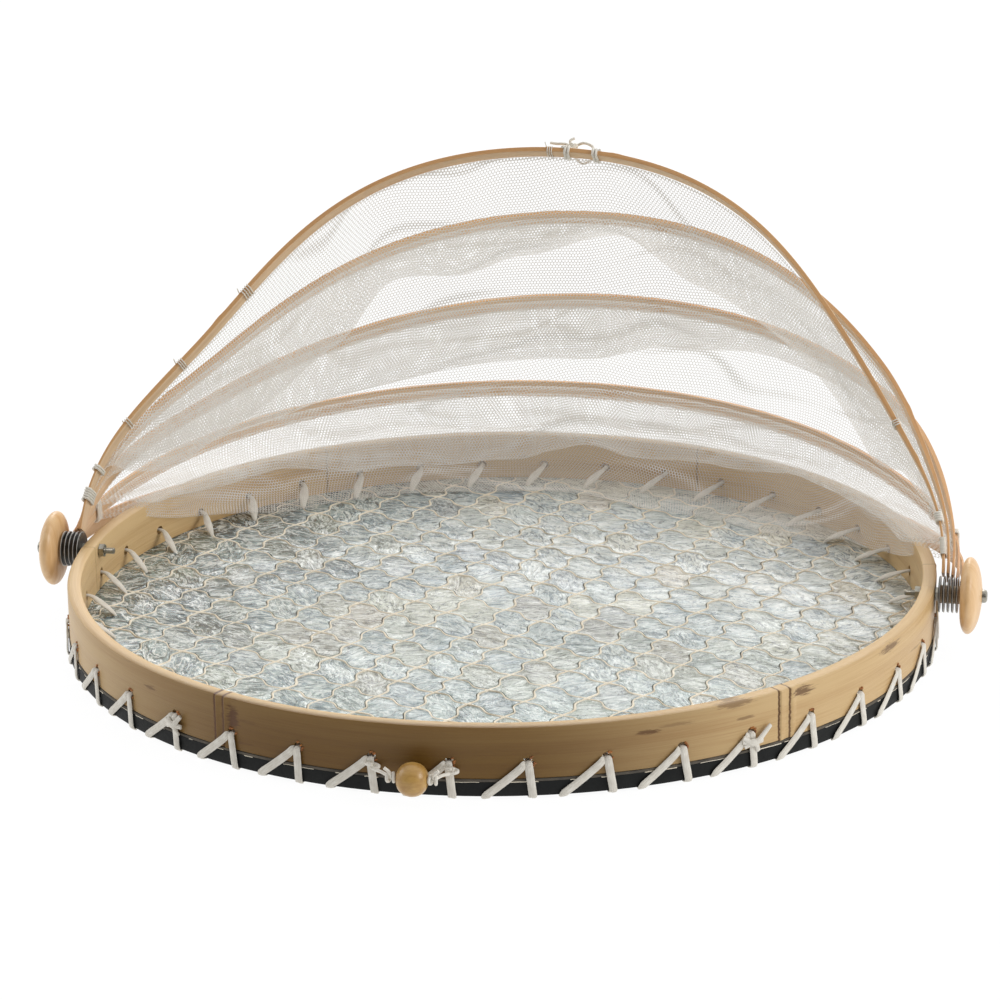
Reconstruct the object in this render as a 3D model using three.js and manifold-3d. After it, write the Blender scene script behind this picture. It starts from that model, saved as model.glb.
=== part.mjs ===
import * as THREE from 'three';
import { mergeVertices } from 'three/addons/utils/BufferGeometryUtils.js';
import Module from 'manifold-3d';

// Round shell-faced tray with a folding gauze cover, in millimetres, +Z up.
// Origin: centre of the tray's foot, where it meets the table. X runs along the pivots and -Y is the front.

const wasm = await Module();
wasm.setup();

// Shared clearances
const seatGap = 0.3;
const turnGap = 0.1;
const cutOverrun = 4;
const frontDegrees = 270;

// Tray
const trayRadius = 200;
const rimHeight = 23;
const rimThickness = 6.5;
const rimEdge = 0.8;
const boardOverhang = 0.4;
const boardThickness = 6.5;
const marginLift = 1.4;
const faceThickness = 1.2;
const traySides = 72;

const rimInner = trayRadius - rimThickness;
const boardRadius = trayRadius + boardOverhang;
const boardTop = marginLift + boardThickness;
const faceTop = boardTop + faceThickness;
const rimTop = faceTop + rimHeight;

// Lacing: a flat strip that goes through the rim, round the board's edge and up through the board
const stitchCount = 38;
const lacingCount = 5;
const firstStitchDegrees = 264.8;
const stitchPitch = 360 / stitchCount;
const laceWidth = 3;
const laceWidthInHole = 1.4;
const laceThickness = 0.9;
const laceHoleRadius = 2.25;
const laceHoleHeight = 7.3;
const laceHoleInset = 14;
const laceHoleSides = 6;
const footInset = 1.2;
const boardHoleTurn = 2.2;
const straightLegTurn = 0.45;
const slantedLegTurn = -5.3;
const slantedLegWidthShare = 1.45;
const laceJoinGap = 0.5;
const laceStandOff = 0.45;

const laceHoleZ = faceTop + laceHoleHeight;
const laceSlotOffset = (laceWidthInHole + laceJoinGap) / 2;
const boardHoleRadius = rimInner - laceHoleInset;
const footRadius = boardHoleRadius - laceHoleRadius - footInset;

// Pivots: a screw through the rim at each side, with the hoops' ends between washers outside it
const pivotDrop = 4;
const screwRadius = 1.5;
const screwHeadRadius = 3;
const screwHeadHeight = 2.2;
const screwTail = 4.7;
const boreGap = 0.3;
const nutAcrossFlats = 5.5;
const nutSides = 6;
const nutThickness = 2.4;
const lockNutThickness = 1.2;
const washerRadius = 8.2;
const washerThickness = 0.7;
const knobRadius = 17.5;
const knobInnerRadius = 10;
const knobInnerDepth = 3.5;
const knobDomeDepth = 6;
const turnedSides = 24;
const washerSides = 18;
const boreSides = 12;

const pivotHeight = rimTop - pivotDrop;
const boreRadius = screwRadius + boreGap;
const nutStart = rimInner - seatGap - nutThickness;
const stackStart = trayRadius + seatGap;
const hoopStackStart = stackStart + lockNutThickness;

// Hoops
const hoopWidth = 8.2;
const hoopThickness = 2.2;
const hoopEndThickness = 1.1;
const hoopCrownClearance = 6;
const hoopNestGap = 0.4;
const hoopEndFlat = 9;
const hoopSteps = 38;
const hoopFullThickness = [8, 25];
const hoopFlareDegrees = 25;
const tangentStepDegrees = 0.5;
const skewStartDegrees = 12;
const hoopPitch = turnGap + washerThickness + turnGap + hoopEndThickness;
const hoopCrownPitch = hoopThickness + hoopNestGap;

// How far each hoop stands open from the level back position, and how its curve leaves a true arc:
// pinchShare draws the two shoulders in, skewShare pushes the right shoulder out and the left one in.
const hoopTable = [
  { name: 'front_hoop', openDegrees: 56.5, pinchShare: 0.07, skewShare: 0.015 },
  { name: 'second_hoop', openDegrees: 37.2, pinchShare: 0.035, skewShare: 0.036 },
  { name: 'third_hoop', openDegrees: 20.7, pinchShare: 0.005, skewShare: 0.04 },
  { name: 'fourth_hoop', openDegrees: 6.2, pinchShare: 0.005, skewShare: -0.015 },
  { name: 'back_hoop', openDegrees: -4.5, pinchShare: 0.005, skewShare: -0.015 },
];
const hoops = hoopTable.map((row, place) => ({
  ...row,
  endRadius: hoopStackStart + place * hoopPitch + turnGap + washerThickness + turnGap + hoopEndThickness / 2,
  crownRadius: trayRadius + hoopCrownClearance + place * hoopCrownPitch,
}));
const knobStart = hoopStackStart + hoops.length * hoopPitch + turnGap;
const knobEnd = knobStart + knobInnerDepth + knobDomeDepth;
const screwHeadStart = knobEnd + turnGap;

// Net
const netThickness = 0.8;
const netGap = 0.4;
const netLayer = netThickness + netGap;
const netSections = 20;
const netPoints = 8;
const netSewingInset = hoopWidth / 4;
const hangShare = 0.75;
const foldDropShare = 0.4;
const thirdFoldInset = 8.5;
const thirdFoldWidth = 3;
const frontGoreDegrees = [12, 168];
const secondGoreDegrees = [14, 166];
const thirdGoreDegrees = [20, 160];
const backGoreDegrees = [24, 156];

// Catch: a bead tied to the front stitches, and a cord loop on the front hoop
const beadWidth = 13.5;
const beadRadius = 7.25;
const beadBoreRadius = 1.1;
const beadMouthShare = 0.16;
const beadFullnessShare = 0.8;
const beadTurn = 0.9;
const beadHeight = 12;
const beadCordRadius = 0.75;
const beadKnotRadius = 2.4;
const beadTieSteps = 20;
const loopCordRadius = 0.7;
const cordSides = 8;

// Colours
const finish = (color, roughness, metalness = 0) => (
  new THREE.MeshStandardMaterial({ color, roughness, metalness })
);
const boardFinish = finish(0x1d1a18, 0.6);
const shellFinish = finish(0xc9ccc2, 0.25);
const bambooFinish = finish(0xb58a55, 0.5);
const laceFinish = finish(0xe4dfd2, 0.8);
const steelFinish = finish(0x9a9a98, 0.35, 1);
const blackFinish = finish(0x141211, 0.4);
const knobFinish = finish(0xd9b27a, 0.45);
const netFinish = finish(0xf2f2ef, 0.9);
const cordFinish = finish(0xe9e4d8, 0.9);
const beadFinish = finish(0xb98a50, 0.45);

const model = new THREE.Group();
const radians = THREE.MathUtils.degToRad;

function addPart(name, geometry, material, group = model) {
  const mesh = new THREE.Mesh(geometry, material);
  mesh.name = name;
  group.add(mesh);
  return mesh;
}

// Shared vertices, no slivers and faces that point out
function welded(geometry) {
  const plain = geometry.clone();
  plain.deleteAttribute('normal');
  plain.deleteAttribute('uv');
  const merged = mergeVertices(plain, 1e-4);
  const source = merged.index.array;
  const position = merged.attributes.position;
  const corner = [new THREE.Vector3(), new THREE.Vector3(), new THREE.Vector3()];
  const kept = [];
  let volume = 0;
  for (let start = 0; start < source.length; start += 3) {
    const [a, b, c] = source.slice(start, start + 3);
    if (a !== b && b !== c && c !== a) {
      kept.push([a, b, c]);
      [a, b, c].forEach((vertex, place) => corner[place].fromBufferAttribute(position, vertex));
      volume += corner[0].dot(corner[1].cross(corner[2]));
    }
  }
  merged.setIndex(kept.flatMap(([a, b, c]) => (volume > 0 ? [a, b, c] : [a, c, b])));
  return merged;
}

function solidOf(geometry) {
  const merged = welded(geometry);
  const mesh = new wasm.Mesh({
    numProp: 3,
    vertProperties: new Float32Array(merged.attributes.position.array),
    triVerts: new Uint32Array(merged.index.array),
  });
  return new wasm.Manifold(mesh);
}

function geometryOf(solid) {
  const mesh = solid.getMesh();
  const geometry = new THREE.BufferGeometry();
  geometry.setAttribute('position', new THREE.BufferAttribute(mesh.vertProperties, 3));
  geometry.setIndex(new THREE.BufferAttribute(mesh.triVerts, 1));
  return geometry;
}

const cut = (geometry, tools) => geometryOf(
  tools.reduce((solid, tool) => solid.subtract(solidOf(tool)), solidOf(geometry)),
);
const joined = (geometry, others) => geometryOf(
  others.reduce((solid, other) => solid.add(solidOf(other)), solidOf(geometry)),
);

// A closed skin over a row of like sections, each listed round its edge from one end of its middle line.
// Both faces are split along the same diagonals, so that a twisted stretch keeps its thickness,
// and the two halves of each row along opposite ones, so that a sheet folded in two keeps its gap.
function skin(sections) {
  const count = sections[0].length;
  const index = [];
  for (let row = 0; row + 1 < sections.length; row += 1) {
    for (let side = 0; side < count; side += 1) {
      const a = row * count + side;
      const b = row * count + ((side + 1) % count);
      const [c, d] = [a + count, b + count];
      const column = side < count / 2 ? side : count - 2 - side;
      const late = column >= (count / 2 - 1) / 2;
      index.push(...((side < count / 2) === late ? [a, b, d, a, d, c] : [a, b, c, b, d, c]));
    }
  }
  const last = (sections.length - 1) * count;
  for (let step = 0; step + 1 < count / 2; step += 1) {
    const [a, b, c, d] = [step, step + 1, count - 2 - step, count - 1 - step];
    index.push(a, c, b, a, d, c);
    index.push(last + a, last + b, last + c, last + a, last + c, last + d);
  }
  const geometry = new THREE.BufferGeometry();
  const places = sections.flat().flatMap((point) => point.toArray());
  geometry.setAttribute('position', new THREE.Float32BufferAttribute(places, 3));
  geometry.setIndex(index);
  return welded(geometry);
}

// Turned pieces: profile points are (radius, place along the axis)
const profile = (pairs) => pairs.map(([radius, along]) => new THREE.Vector2(radius, along));
const turnedUp = (pairs, sides) => new THREE.LatheGeometry(profile(pairs), sides).rotateX(Math.PI / 2);
const turnedAcross = (pairs, sides) => new THREE.LatheGeometry(profile(pairs), sides).rotateZ(-Math.PI / 2);
const ringProfile = (inner, outer, start, end) => [
  [inner, start], [outer, start], [outer, end], [inner, end], [inner, start],
];

// Tray
const holeAngle = (stitch) => firstStitchDegrees + stitch * stitchPitch;
const stitches = Array.from({ length: stitchCount }, (_, stitch) => stitch);

const laceHole = (length) => (
  new THREE.CylinderGeometry(laceHoleRadius, laceHoleRadius, length, laceHoleSides)
);

function boardHoles() {
  const length = 2 * (faceTop + cutOverrun);
  return stitches.map((stitch) => laceHole(length)
    .rotateX(Math.PI / 2)
    .translate(boardHoleRadius, 0, 0)
    .rotateZ(radians(holeAngle(stitch) + boardHoleTurn)));
}

function rimHoles() {
  const length = rimThickness + 2 * cutOverrun;
  return stitches.map((stitch) => laceHole(length)
    .rotateY(Math.PI / 2)
    .rotateZ(-Math.PI / 2)
    .translate(trayRadius - rimThickness / 2, 0, laceHoleZ)
    .rotateZ(radians(holeAngle(stitch))));
}

function pivotBores() {
  const length = 2 * (trayRadius + cutOverrun);
  return [new THREE.CylinderGeometry(boreRadius, boreRadius, length, boreSides)
    .rotateZ(-Math.PI / 2)
    .translate(0, 0, pivotHeight)];
}

const boardProfile = [
  [0, 0], [footRadius, 0], [footRadius, marginLift], [boardRadius, marginLift], [boardRadius, boardTop],
  [0, boardTop],
];
const faceProfile = [[0, boardTop], [boardRadius, boardTop], [boardRadius, faceTop], [0, faceTop]];
const rimProfile = [
  [rimInner, faceTop], [trayRadius, faceTop], [trayRadius, rimTop - rimEdge], [trayRadius - rimEdge, rimTop],
  [rimInner + rimEdge, rimTop], [rimInner, rimTop - rimEdge], [rimInner, faceTop],
];
addPart('base_board', cut(turnedUp(boardProfile, traySides), boardHoles()), boardFinish);
addPart('capiz_face', cut(turnedUp(faceProfile, traySides), boardHoles()), shellFinish);
addPart('rim_hoop', cut(turnedUp(rimProfile, traySides), [...rimHoles(), ...pivotBores()]), bambooFinish);

// Lacing

// A place at a radius and angle, moved along the tray's edge by shift
function around(radius, angle, z, shift = 0) {
  const turn = radians(angle);
  return new THREE.Vector3(
    radius * Math.cos(turn) - shift * Math.sin(turn),
    radius * Math.sin(turn) + shift * Math.cos(turn),
    z,
  );
}

const alongEdge = (angle) => new THREE.Vector3(-Math.sin(radians(angle)), Math.cos(radians(angle)), 0);

// The strip's stops: each holds its place, the direction of its width and how wide it is
const laceOutside = boardRadius + laceStandOff + laceThickness / 2;
const laceInside = rimInner - seatGap - laceThickness / 2;
const laceUnder = marginLift - seatGap - laceThickness / 2;
const laceOver = faceTop + seatGap + laceThickness / 2;

function stop(radius, angle, z, width, side = 0) {
  return { place: around(radius, angle, z, side * laceSlotOffset), across: alongEdge(angle), width };
}

// One way round the rim and board: out through the rim, down a leg, under, and up through the board
function pass(angle, side, legTurn, legWidth, landing, landingSide) {
  return [
    stop(boardHoleRadius, angle + boardHoleTurn, laceOver, laceWidthInHole, side),
    stop(laceInside, angle, laceHoleZ, laceWidthInHole, side),
    stop(laceOutside, angle, laceHoleZ, laceWidthInHole, side),
    stop(laceOutside, angle + legTurn, laceUnder, legWidth),
    stop(boardHoleRadius, landing, laceUnder, laceWidthInHole, landingSide),
  ];
}

function laceStops(first, last) {
  const joinHeight = (laceUnder + laceOver) / 2;
  const start = holeAngle(last) + boardHoleTurn;
  const stops = [stop(boardHoleRadius, start, joinHeight + laceJoinGap / 2, laceWidthInHole, 1)];
  for (let stitch = last; stitch >= first; stitch -= 1) {
    const angle = holeAngle(stitch);
    const ownHole = angle + boardHoleTurn;
    const slantedWidth = laceWidth * slantedLegWidthShare;
    stops.push(...pass(angle, 1, straightLegTurn, laceWidth, ownHole, -1));
    stops.push(...pass(angle, -1, slantedLegTurn, slantedWidth, ownHole - stitchPitch, 1));
  }
  const end = holeAngle(first - 1) + boardHoleTurn;
  stops.push(stop(boardHoleRadius, end, joinHeight - laceJoinGap / 2, laceWidthInHole, 1));
  return stops;
}

// The flat strip, folded with a mitre at each stop
function strip(stops) {
  const runs = stops.slice(1).map((to, place) => {
    const from = stops[place];
    const along = to.place.clone().sub(from.place);
    return along.cross(from.across.clone().add(to.across)).normalize();
  });
  const sections = stops.map(({ place, across, width }, stopNumber) => {
    const before = runs[Math.max(stopNumber - 1, 0)];
    const after = runs[Math.min(stopNumber, runs.length - 1)];
    const mitre = before.clone().add(after).divideScalar(1 + before.dot(after));
    const half = across.clone().multiplyScalar(width / 2);
    const lift = mitre.multiplyScalar(laceThickness / 2);
    return [
      place.clone().add(half).add(lift), place.clone().sub(half).add(lift),
      place.clone().sub(half).sub(lift), place.clone().add(half).sub(lift),
    ];
  });
  return skin(sections);
}

// Least distance between two passes of the strip, measured on its middle line less its width or thickness
function leastLaceGap(stops) {
  let least = Infinity;
  stops.forEach((one, place) => {
    stops.slice(place + 3).forEach((other) => {
      const between = other.place.clone().sub(one.place);
      const sideways = Math.abs(between.dot(one.across)) - (one.width + other.width) / 2;
      const off = Math.sqrt(Math.max(between.lengthSq() - between.dot(one.across) ** 2, 0)) - laceThickness;
      least = Math.min(least, Math.max(sideways, off));
    });
  });
  return least;
}

for (let length = 0; length < lacingCount; length += 1) {
  const first = Math.round((length * stitchCount) / lacingCount);
  const last = Math.round(((length + 1) * stitchCount) / lacingCount) - 1;
  const stops = laceStops(first, last);
  addPart(`lacing_${length + 1}`, strip(stops), laceFinish);
  console.log(`lacing_${length + 1}: least gap to itself ${leastLaceGap(stops).toFixed(2)} mm`);
}

// Pivots, built for the right side; the left one is the same set turned half a turn

function hexNut(start, thickness) {
  const corner = nutAcrossFlats / (2 * Math.cos(Math.PI / nutSides));
  const outline = new THREE.Shape(Array.from({ length: nutSides }, (_, side) => {
    const turn = (side * 2 * Math.PI) / nutSides;
    return new THREE.Vector2(corner * Math.cos(turn), corner * Math.sin(turn));
  }));
  const hole = new THREE.Path();
  hole.absarc(0, 0, boreRadius, 0, 2 * Math.PI, true);
  outline.holes.push(hole);
  const options = { depth: thickness, bevelEnabled: false, curveSegments: boreSides };
  return new THREE.ExtrudeGeometry(outline, options)
    .rotateY(Math.PI / 2)
    .translate(start, 0, 0);
}

function screw() {
  const headSteps = 5;
  const dome = Array.from({ length: headSteps + 1 }, (_, step) => {
    const turn = (step / headSteps) * (Math.PI / 2);
    return [screwHeadRadius * Math.cos(turn), screwHeadStart + screwHeadHeight * Math.sin(turn)];
  });
  dome[headSteps][0] = 0;
  return turnedAcross([
    [0, nutStart - screwTail], [screwRadius, nutStart - screwTail], [screwRadius, screwHeadStart],
    ...dome,
  ], boreSides);
}

// The lens-shaped knob: a short bulge up to its widest ring, then a dome to the screw's head
function knob() {
  const bulgeSteps = 3;
  const domeSteps = 5;
  const ring = knobStart + knobInnerDepth;
  const bulge = Array.from({ length: bulgeSteps }, (_, step) => {
    const turn = (step / bulgeSteps) * (Math.PI / 2);
    return [
      knobInnerRadius + (knobRadius - knobInnerRadius) * Math.sin(turn),
      ring - knobInnerDepth * Math.cos(turn),
    ];
  });
  const seat = screwHeadRadius + seatGap;
  const lastTurn = Math.acos(seat / knobRadius);
  const dome = Array.from({ length: domeSteps + 1 }, (_, step) => {
    const turn = (step / domeSteps) * lastTurn;
    return [knobRadius * Math.cos(turn), ring + (knobDomeDepth * Math.sin(turn)) / Math.sin(lastTurn)];
  });
  return turnedAcross([
    [boreRadius, knobStart], ...bulge, ...dome, [boreRadius, knobEnd], [boreRadius, knobStart],
  ], turnedSides);
}

function addPivot(side, turn) {
  const pivot = new THREE.Group();
  pivot.position.z = pivotHeight;
  pivot.rotation.z = turn;
  model.add(pivot);
  addPart(`pivot_screw_${side}`, screw(), steelFinish, pivot);
  addPart(`pivot_nut_${side}`, hexNut(nutStart, nutThickness), steelFinish, pivot);
  addPart(`lock_nut_${side}`, hexNut(stackStart, lockNutThickness), steelFinish, pivot);
  hoops.forEach((hoop, place) => {
    const start = hoopStackStart + place * hoopPitch + turnGap;
    const ring = ringProfile(boreRadius, washerRadius, start, start + washerThickness);
    addPart(`washer_${side}_${place + 1}`, turnedAcross(ring, washerSides), blackFinish, pivot);
  });
  addPart(`knob_${side}`, knob(), knobFinish, pivot);
}
addPivot('right', 0);
addPivot('left', Math.PI);

// Hoops

// The hoop's curve in its own plane: x along the pivots, rise away from them
function hoopPlace(hoop, angle) {
  const fold = Math.min(angle, 180 - angle);
  const flare = THREE.MathUtils.smoothstep(fold, 0, hoopFlareDegrees);
  const skewOn = THREE.MathUtils.smoothstep(fold, skewStartDegrees, skewStartDegrees + hoopFlareDegrees);
  const turn = radians(angle);
  const pinch = hoop.pinchShare * trayRadius * Math.sin(2 * turn) ** 2 * (1 + Math.cos(2 * turn));
  const skew = hoop.skewShare * trayRadius * Math.sin(2 * turn) * skewOn;
  const radius = hoop.endRadius + (hoop.crownRadius - hoop.endRadius) * flare - pinch + skew;
  return { x: radius * Math.cos(turn), rise: radius * Math.sin(turn) + hoopEndFlat * (1 - flare) };
}

// A place on or near a hoop: outward in its plane, and across its band towards the closed side
function onHoop(hoop, angle, outward = 0, across = 0) {
  const here = hoopPlace(hoop, angle);
  const before = hoopPlace(hoop, Math.max(angle - tangentStepDegrees, 0));
  const after = hoopPlace(hoop, Math.min(angle + tangentStepDegrees, 180));
  const run = new THREE.Vector2(after.x - before.x, after.rise - before.rise).normalize();
  return fromHoopPlane(hoop, here.x + run.y * outward, here.rise - run.x * outward, across);
}

function fromHoopPlane(hoop, x, rise, across) {
  const open = radians(hoop.openDegrees);
  return new THREE.Vector3(
    x,
    rise * Math.cos(open) - across * Math.sin(open),
    pivotHeight + rise * Math.sin(open) + across * Math.cos(open),
  );
}

function hoopThicknessAt(angle) {
  const fold = Math.min(angle, 180 - angle);
  const full = THREE.MathUtils.smoothstep(fold, ...hoopFullThickness);
  return hoopEndThickness + (hoopThickness - hoopEndThickness) * full;
}

function hoopSolid(hoop) {
  const halfWidth = hoopWidth / 2;
  const corners = [[1, 1], [1, -1], [-1, -1], [-1, 1]];
  const endSection = (side) => corners.map(([out, across]) => (
    fromHoopPlane(hoop, side * (hoop.endRadius + out * (hoopEndThickness / 2)), 0, across * halfWidth)));
  const sections = Array.from({ length: hoopSteps + 1 }, (_, step) => {
    const angle = (step / hoopSteps) * 180;
    const halfThickness = hoopThicknessAt(angle) / 2;
    return corners.map(([out, across]) => onHoop(hoop, angle, out * halfThickness, across * halfWidth));
  });
  const band = solidOf(skin([endSection(1), ...sections, endSection(-1)]));
  const onAxis = (radius, length, x) => solidOf(new THREE.CylinderGeometry(radius, radius, length, boreSides)
    .rotateZ(-Math.PI / 2)
    .translate(x, 0, pivotHeight));
  const ends = [1, -1].map((side) => onAxis(halfWidth, hoopEndThickness, side * hoop.endRadius));
  const bore = onAxis(boreRadius, 2 * (hoop.endRadius + cutOverrun), 0);
  return geometryOf(band.add(ends[0]).add(ends[1]).subtract(bore));
}

hoops.forEach((hoop) => addPart(hoop.name, hoopSolid(hoop), bambooFinish));

// Net

// A value from a table of [degrees, share] rows, eased between them
function shareAt(table, angle) {
  const next = table.findIndex(([degrees]) => degrees >= angle);
  if (next <= 0) {
    return next === 0 ? table[0][1] : table[table.length - 1][1];
  }
  const [fromDegrees, fromShare] = table[next - 1];
  const [toDegrees, toShare] = table[next];
  return fromShare + (toShare - fromShare) * THREE.MathUtils.smoothstep(angle, fromDegrees, toDegrees);
}

// A thin closed sheet over a grid of places, each row of which runs from the front hoop to the rear one
function sheet(rows) {
  const sections = rows.map((row, rowNumber) => {
    const before = rows[Math.max(rowNumber - 1, 0)];
    const after = rows[Math.min(rowNumber + 1, rows.length - 1)];
    const faces = row.map((place, column) => {
      const ahead = row[Math.min(column + 1, row.length - 1)].clone().sub(place).normalize();
      const behind = place.clone().sub(row[Math.max(column - 1, 0)]).normalize();
      const down = ahead.add(behind);
      const over = after[column].clone().sub(before[column]);
      const off = down.cross(over).normalize().multiplyScalar(netThickness / 2);
      return [place.clone().add(off), place.clone().sub(off)];
    });
    return [...faces.map(([top]) => top), ...faces.map(([, bottom]) => bottom).reverse()];
  });
  return skin(sections);
}

function gore(angles, rail) {
  const [from, to] = angles;
  const pitch = (to - from) / netSections;
  return sheet(Array.from({ length: netSections + 1 }, (_, step) => rail(from + step * pitch)));
}

// The net's two sewn edges: on the inner faces of the two hoops, on the sides that face each other
function sewnEdges(front, rear, angle) {
  const under = (hoop) => -(hoopThicknessAt(angle) / 2 + netGap + netThickness / 2);
  return [
    onHoop(front, angle, under(front), -netSewingInset),
    onHoop(rear, angle, under(rear), netSewingInset),
  ];
}

// A fold that hangs freely between two hoops, its table's share of the tray's radius below the rear one
function hangingRail(front, rear, sagTable) {
  return (angle) => {
    const [top, end] = sewnEdges(front, rear, angle);
    const low = end.z - (shareAt(sagTable, angle) * trayRadius) / hangShare;
    return new THREE.CubicBezierCurve3(
      top,
      new THREE.Vector3(top.x, top.y, low),
      new THREE.Vector3(end.x, end.y, low),
      end,
    ).getPoints(netPoints);
  };
}

// Heights and radii of the net's layers where they cross the rim and line the tray
const rimLayer = (layer) => rimTop + netGap + netThickness / 2 + layer * netLayer;
const wallLayer = (layer) => rimInner - netGap - netThickness / 2 - layer * netLayer;
const liningStart = boardHoleRadius - laceHoleRadius - netGap - netThickness;
const liningSlope = (laceHoleZ - laceOver) / (laceInside - boardHoleRadius);
const rimOutside = trayRadius + netLayer;
const liningZ = (radius, layer) => faceTop + netGap + netThickness / 2
  + Math.max(radius - liningStart, 0) * liningSlope
  + layer * netLayer * Math.hypot(1, liningSlope);

const planAngle = (place) => THREE.MathUtils.radToDeg(Math.atan2(place.y, place.x));

// A fold that drops inside the tray and comes back out over the rim
function thirdRail(angle) {
  const [top, end] = sewnEdges(thirdHoop, fourthHoop, angle);
  const fold = rimInner - thirdFoldInset;
  const sag = shareAt(thirdSagShares, angle) * trayRadius;
  const low = Math.max(end.z - sag, liningZ(fold + thirdFoldWidth, 1) + netLayer);
  const crest = rimLayer(2);
  const out = planAngle(end);
  const between = (planAngle(top) + out) / 2;
  const belowSecond = top.z - shareAt(secondSagShares, angle) * trayRadius - thirdFoldWidth;
  const hang = Math.max(belowSecond, low + (top.z - low) * foldDropShare);
  return [
    top,
    new THREE.Vector3(top.x, top.y, hang),
    around(fold, between, low + (hang - low) * foldDropShare),
    around(fold + thirdFoldWidth / 4, between, low),
    around(fold + thirdFoldWidth, out, low + netLayer),
    around(wallLayer(2), out, Math.max(crest - netLayer, low + netLayer)),
    around(wallLayer(1), out, crest + netGap),
    around(rimOutside - 2 * netLayer, out, crest),
    end,
  ];
}

// The last fold lies in the tray: in over the rim, down the wall, out to a fold on the floor and back again
function backRail(angle) {
  const [top, end] = sewnEdges(fourthHoop, backHoop, angle);
  const out = planAngle(end);
  const tip = shareAt(backTipShares, out) * trayRadius;
  const knee = Math.max(liningStart, tip + 2 * netLayer);
  const over = (layer) => [
    around(rimOutside, out, rimLayer(layer)),
    around(wallLayer(layer) + netLayer, out, rimLayer(layer)),
    around(wallLayer(layer), out, rimLayer(layer) - netLayer),
    around(wallLayer(layer), out, liningZ(wallLayer(layer), layer) + netGap),
    around(knee, out, liningZ(knee, layer)),
    around(tip + netLayer, out, liningZ(tip + netLayer, layer)),
  ];
  const tipPlace = around(tip, out, (liningZ(tip, 0) + liningZ(tip, 1)) / 2);
  return [top, ...over(1), tipPlace, ...over(0).reverse(), end];
}

const [frontHoop, secondHoop, thirdHoop, fourthHoop, backHoop] = hoops;

// How deep each fold hangs along its hoops, and how far in the last one reaches, as [degrees, share] rows
const frontSagShares = [
  [12, 0.012], [20, 0.03], [33, 0.15], [56, 0.135], [69, 0.11], [81, 0.03], [94, 0.09],
  [102, 0.12], [113, 0.08], [122, 0.17], [134, 0.205], [150, 0.18], [168, 0.012],
];
const secondSagShares = [
  [12, 0], [34, 0.045], [45, 0.05], [59, 0.06], [75, 0.11], [88, 0.165], [109, 0.16], [130, 0.14], [168, 0],
];
const thirdSagShares = [
  [20, 0], [48, 0.07], [65, 0.12], [80, 0.14], [87, 0.12], [99, 0.165], [106, 0.17], [120, 0.15], [140, 0.08],
  [160, 0],
];
const backTipShares = [
  [25, 0.94], [34, 0.915], [51, 0.8], [72, 0.77], [91, 0.835], [101, 0.83], [118, 0.86], [136, 0.875],
  [155, 0.94],
];

// Catch

// A round cord through a row of places
function cord(places, radius, steps) {
  const outline = new THREE.Shape(Array.from({ length: cordSides }, (_, side) => {
    const turn = (side / cordSides) * 2 * Math.PI;
    return new THREE.Vector2(radius * Math.cos(turn), radius * Math.sin(turn));
  }));
  const extrudePath = new THREE.CatmullRomCurve3(places);
  return new THREE.ExtrudeGeometry(outline, { extrudePath, steps, bevelEnabled: false });
}

// The bead lies between the first two stitches, along the tray's edge
const beadAngle = holeAngle(0) + stitchPitch / 2 + beadTurn;
const beadPlace = around(laceOutside + laceThickness / 2 + seatGap + beadRadius, beadAngle, beadHeight);

function bead() {
  const steps = 8;
  const firstTurn = Math.asin(beadMouthShare);
  const outline = Array.from({ length: steps + 1 }, (_, step) => {
    const turn = firstTurn + (step / steps) * (Math.PI - 2 * firstTurn);
    return [beadRadius * Math.sin(turn) ** beadFullnessShare, -(beadWidth / 2) * Math.cos(turn)];
  });
  const start = outline[0][1];
  const bore = [[beadBoreRadius, -start], [beadBoreRadius, start]];
  return turnedAcross([[beadBoreRadius, start], ...outline, ...bore], turnedSides)
    .rotateZ(radians(beadAngle - frontDegrees))
    .translate(...beadPlace.toArray());
}

// The bead's cord runs from one stitch's leg through the bead to the next stitch's leg
function beadTie() {
  const standOff = laceOutside + laceThickness / 2 + seatGap + beadCordRadius;
  const knotX = beadWidth / 2 + seatGap + beadKnotRadius;
  const level = (shift) => beadPlace.clone().addScaledVector(alongEdge(beadAngle), shift);
  const left = around(standOff, holeAngle(0) + straightLegTurn, beadHeight);
  const right = around(standOff, holeAngle(1) + straightLegTurn, beadHeight);
  const places = [
    left, left.clone().lerp(level(-knotX), 0.5), level(-knotX),
    level(-beadWidth / 2), level(0), level(beadWidth / 2),
    level(knotX), right.clone().lerp(level(knotX), 0.5), right,
  ];
  const knots = [-knotX, knotX].map((x) => new THREE.SphereGeometry(beadKnotRadius, cordSides, cordSides - 2)
    .translate(...level(x).toArray()));
  return joined(cord(places, beadCordRadius, beadTieSteps), knots);
}

addPart('bead', bead(), beadFinish);
addPart('bead_tie', beadTie(), cordFinish);

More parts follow.
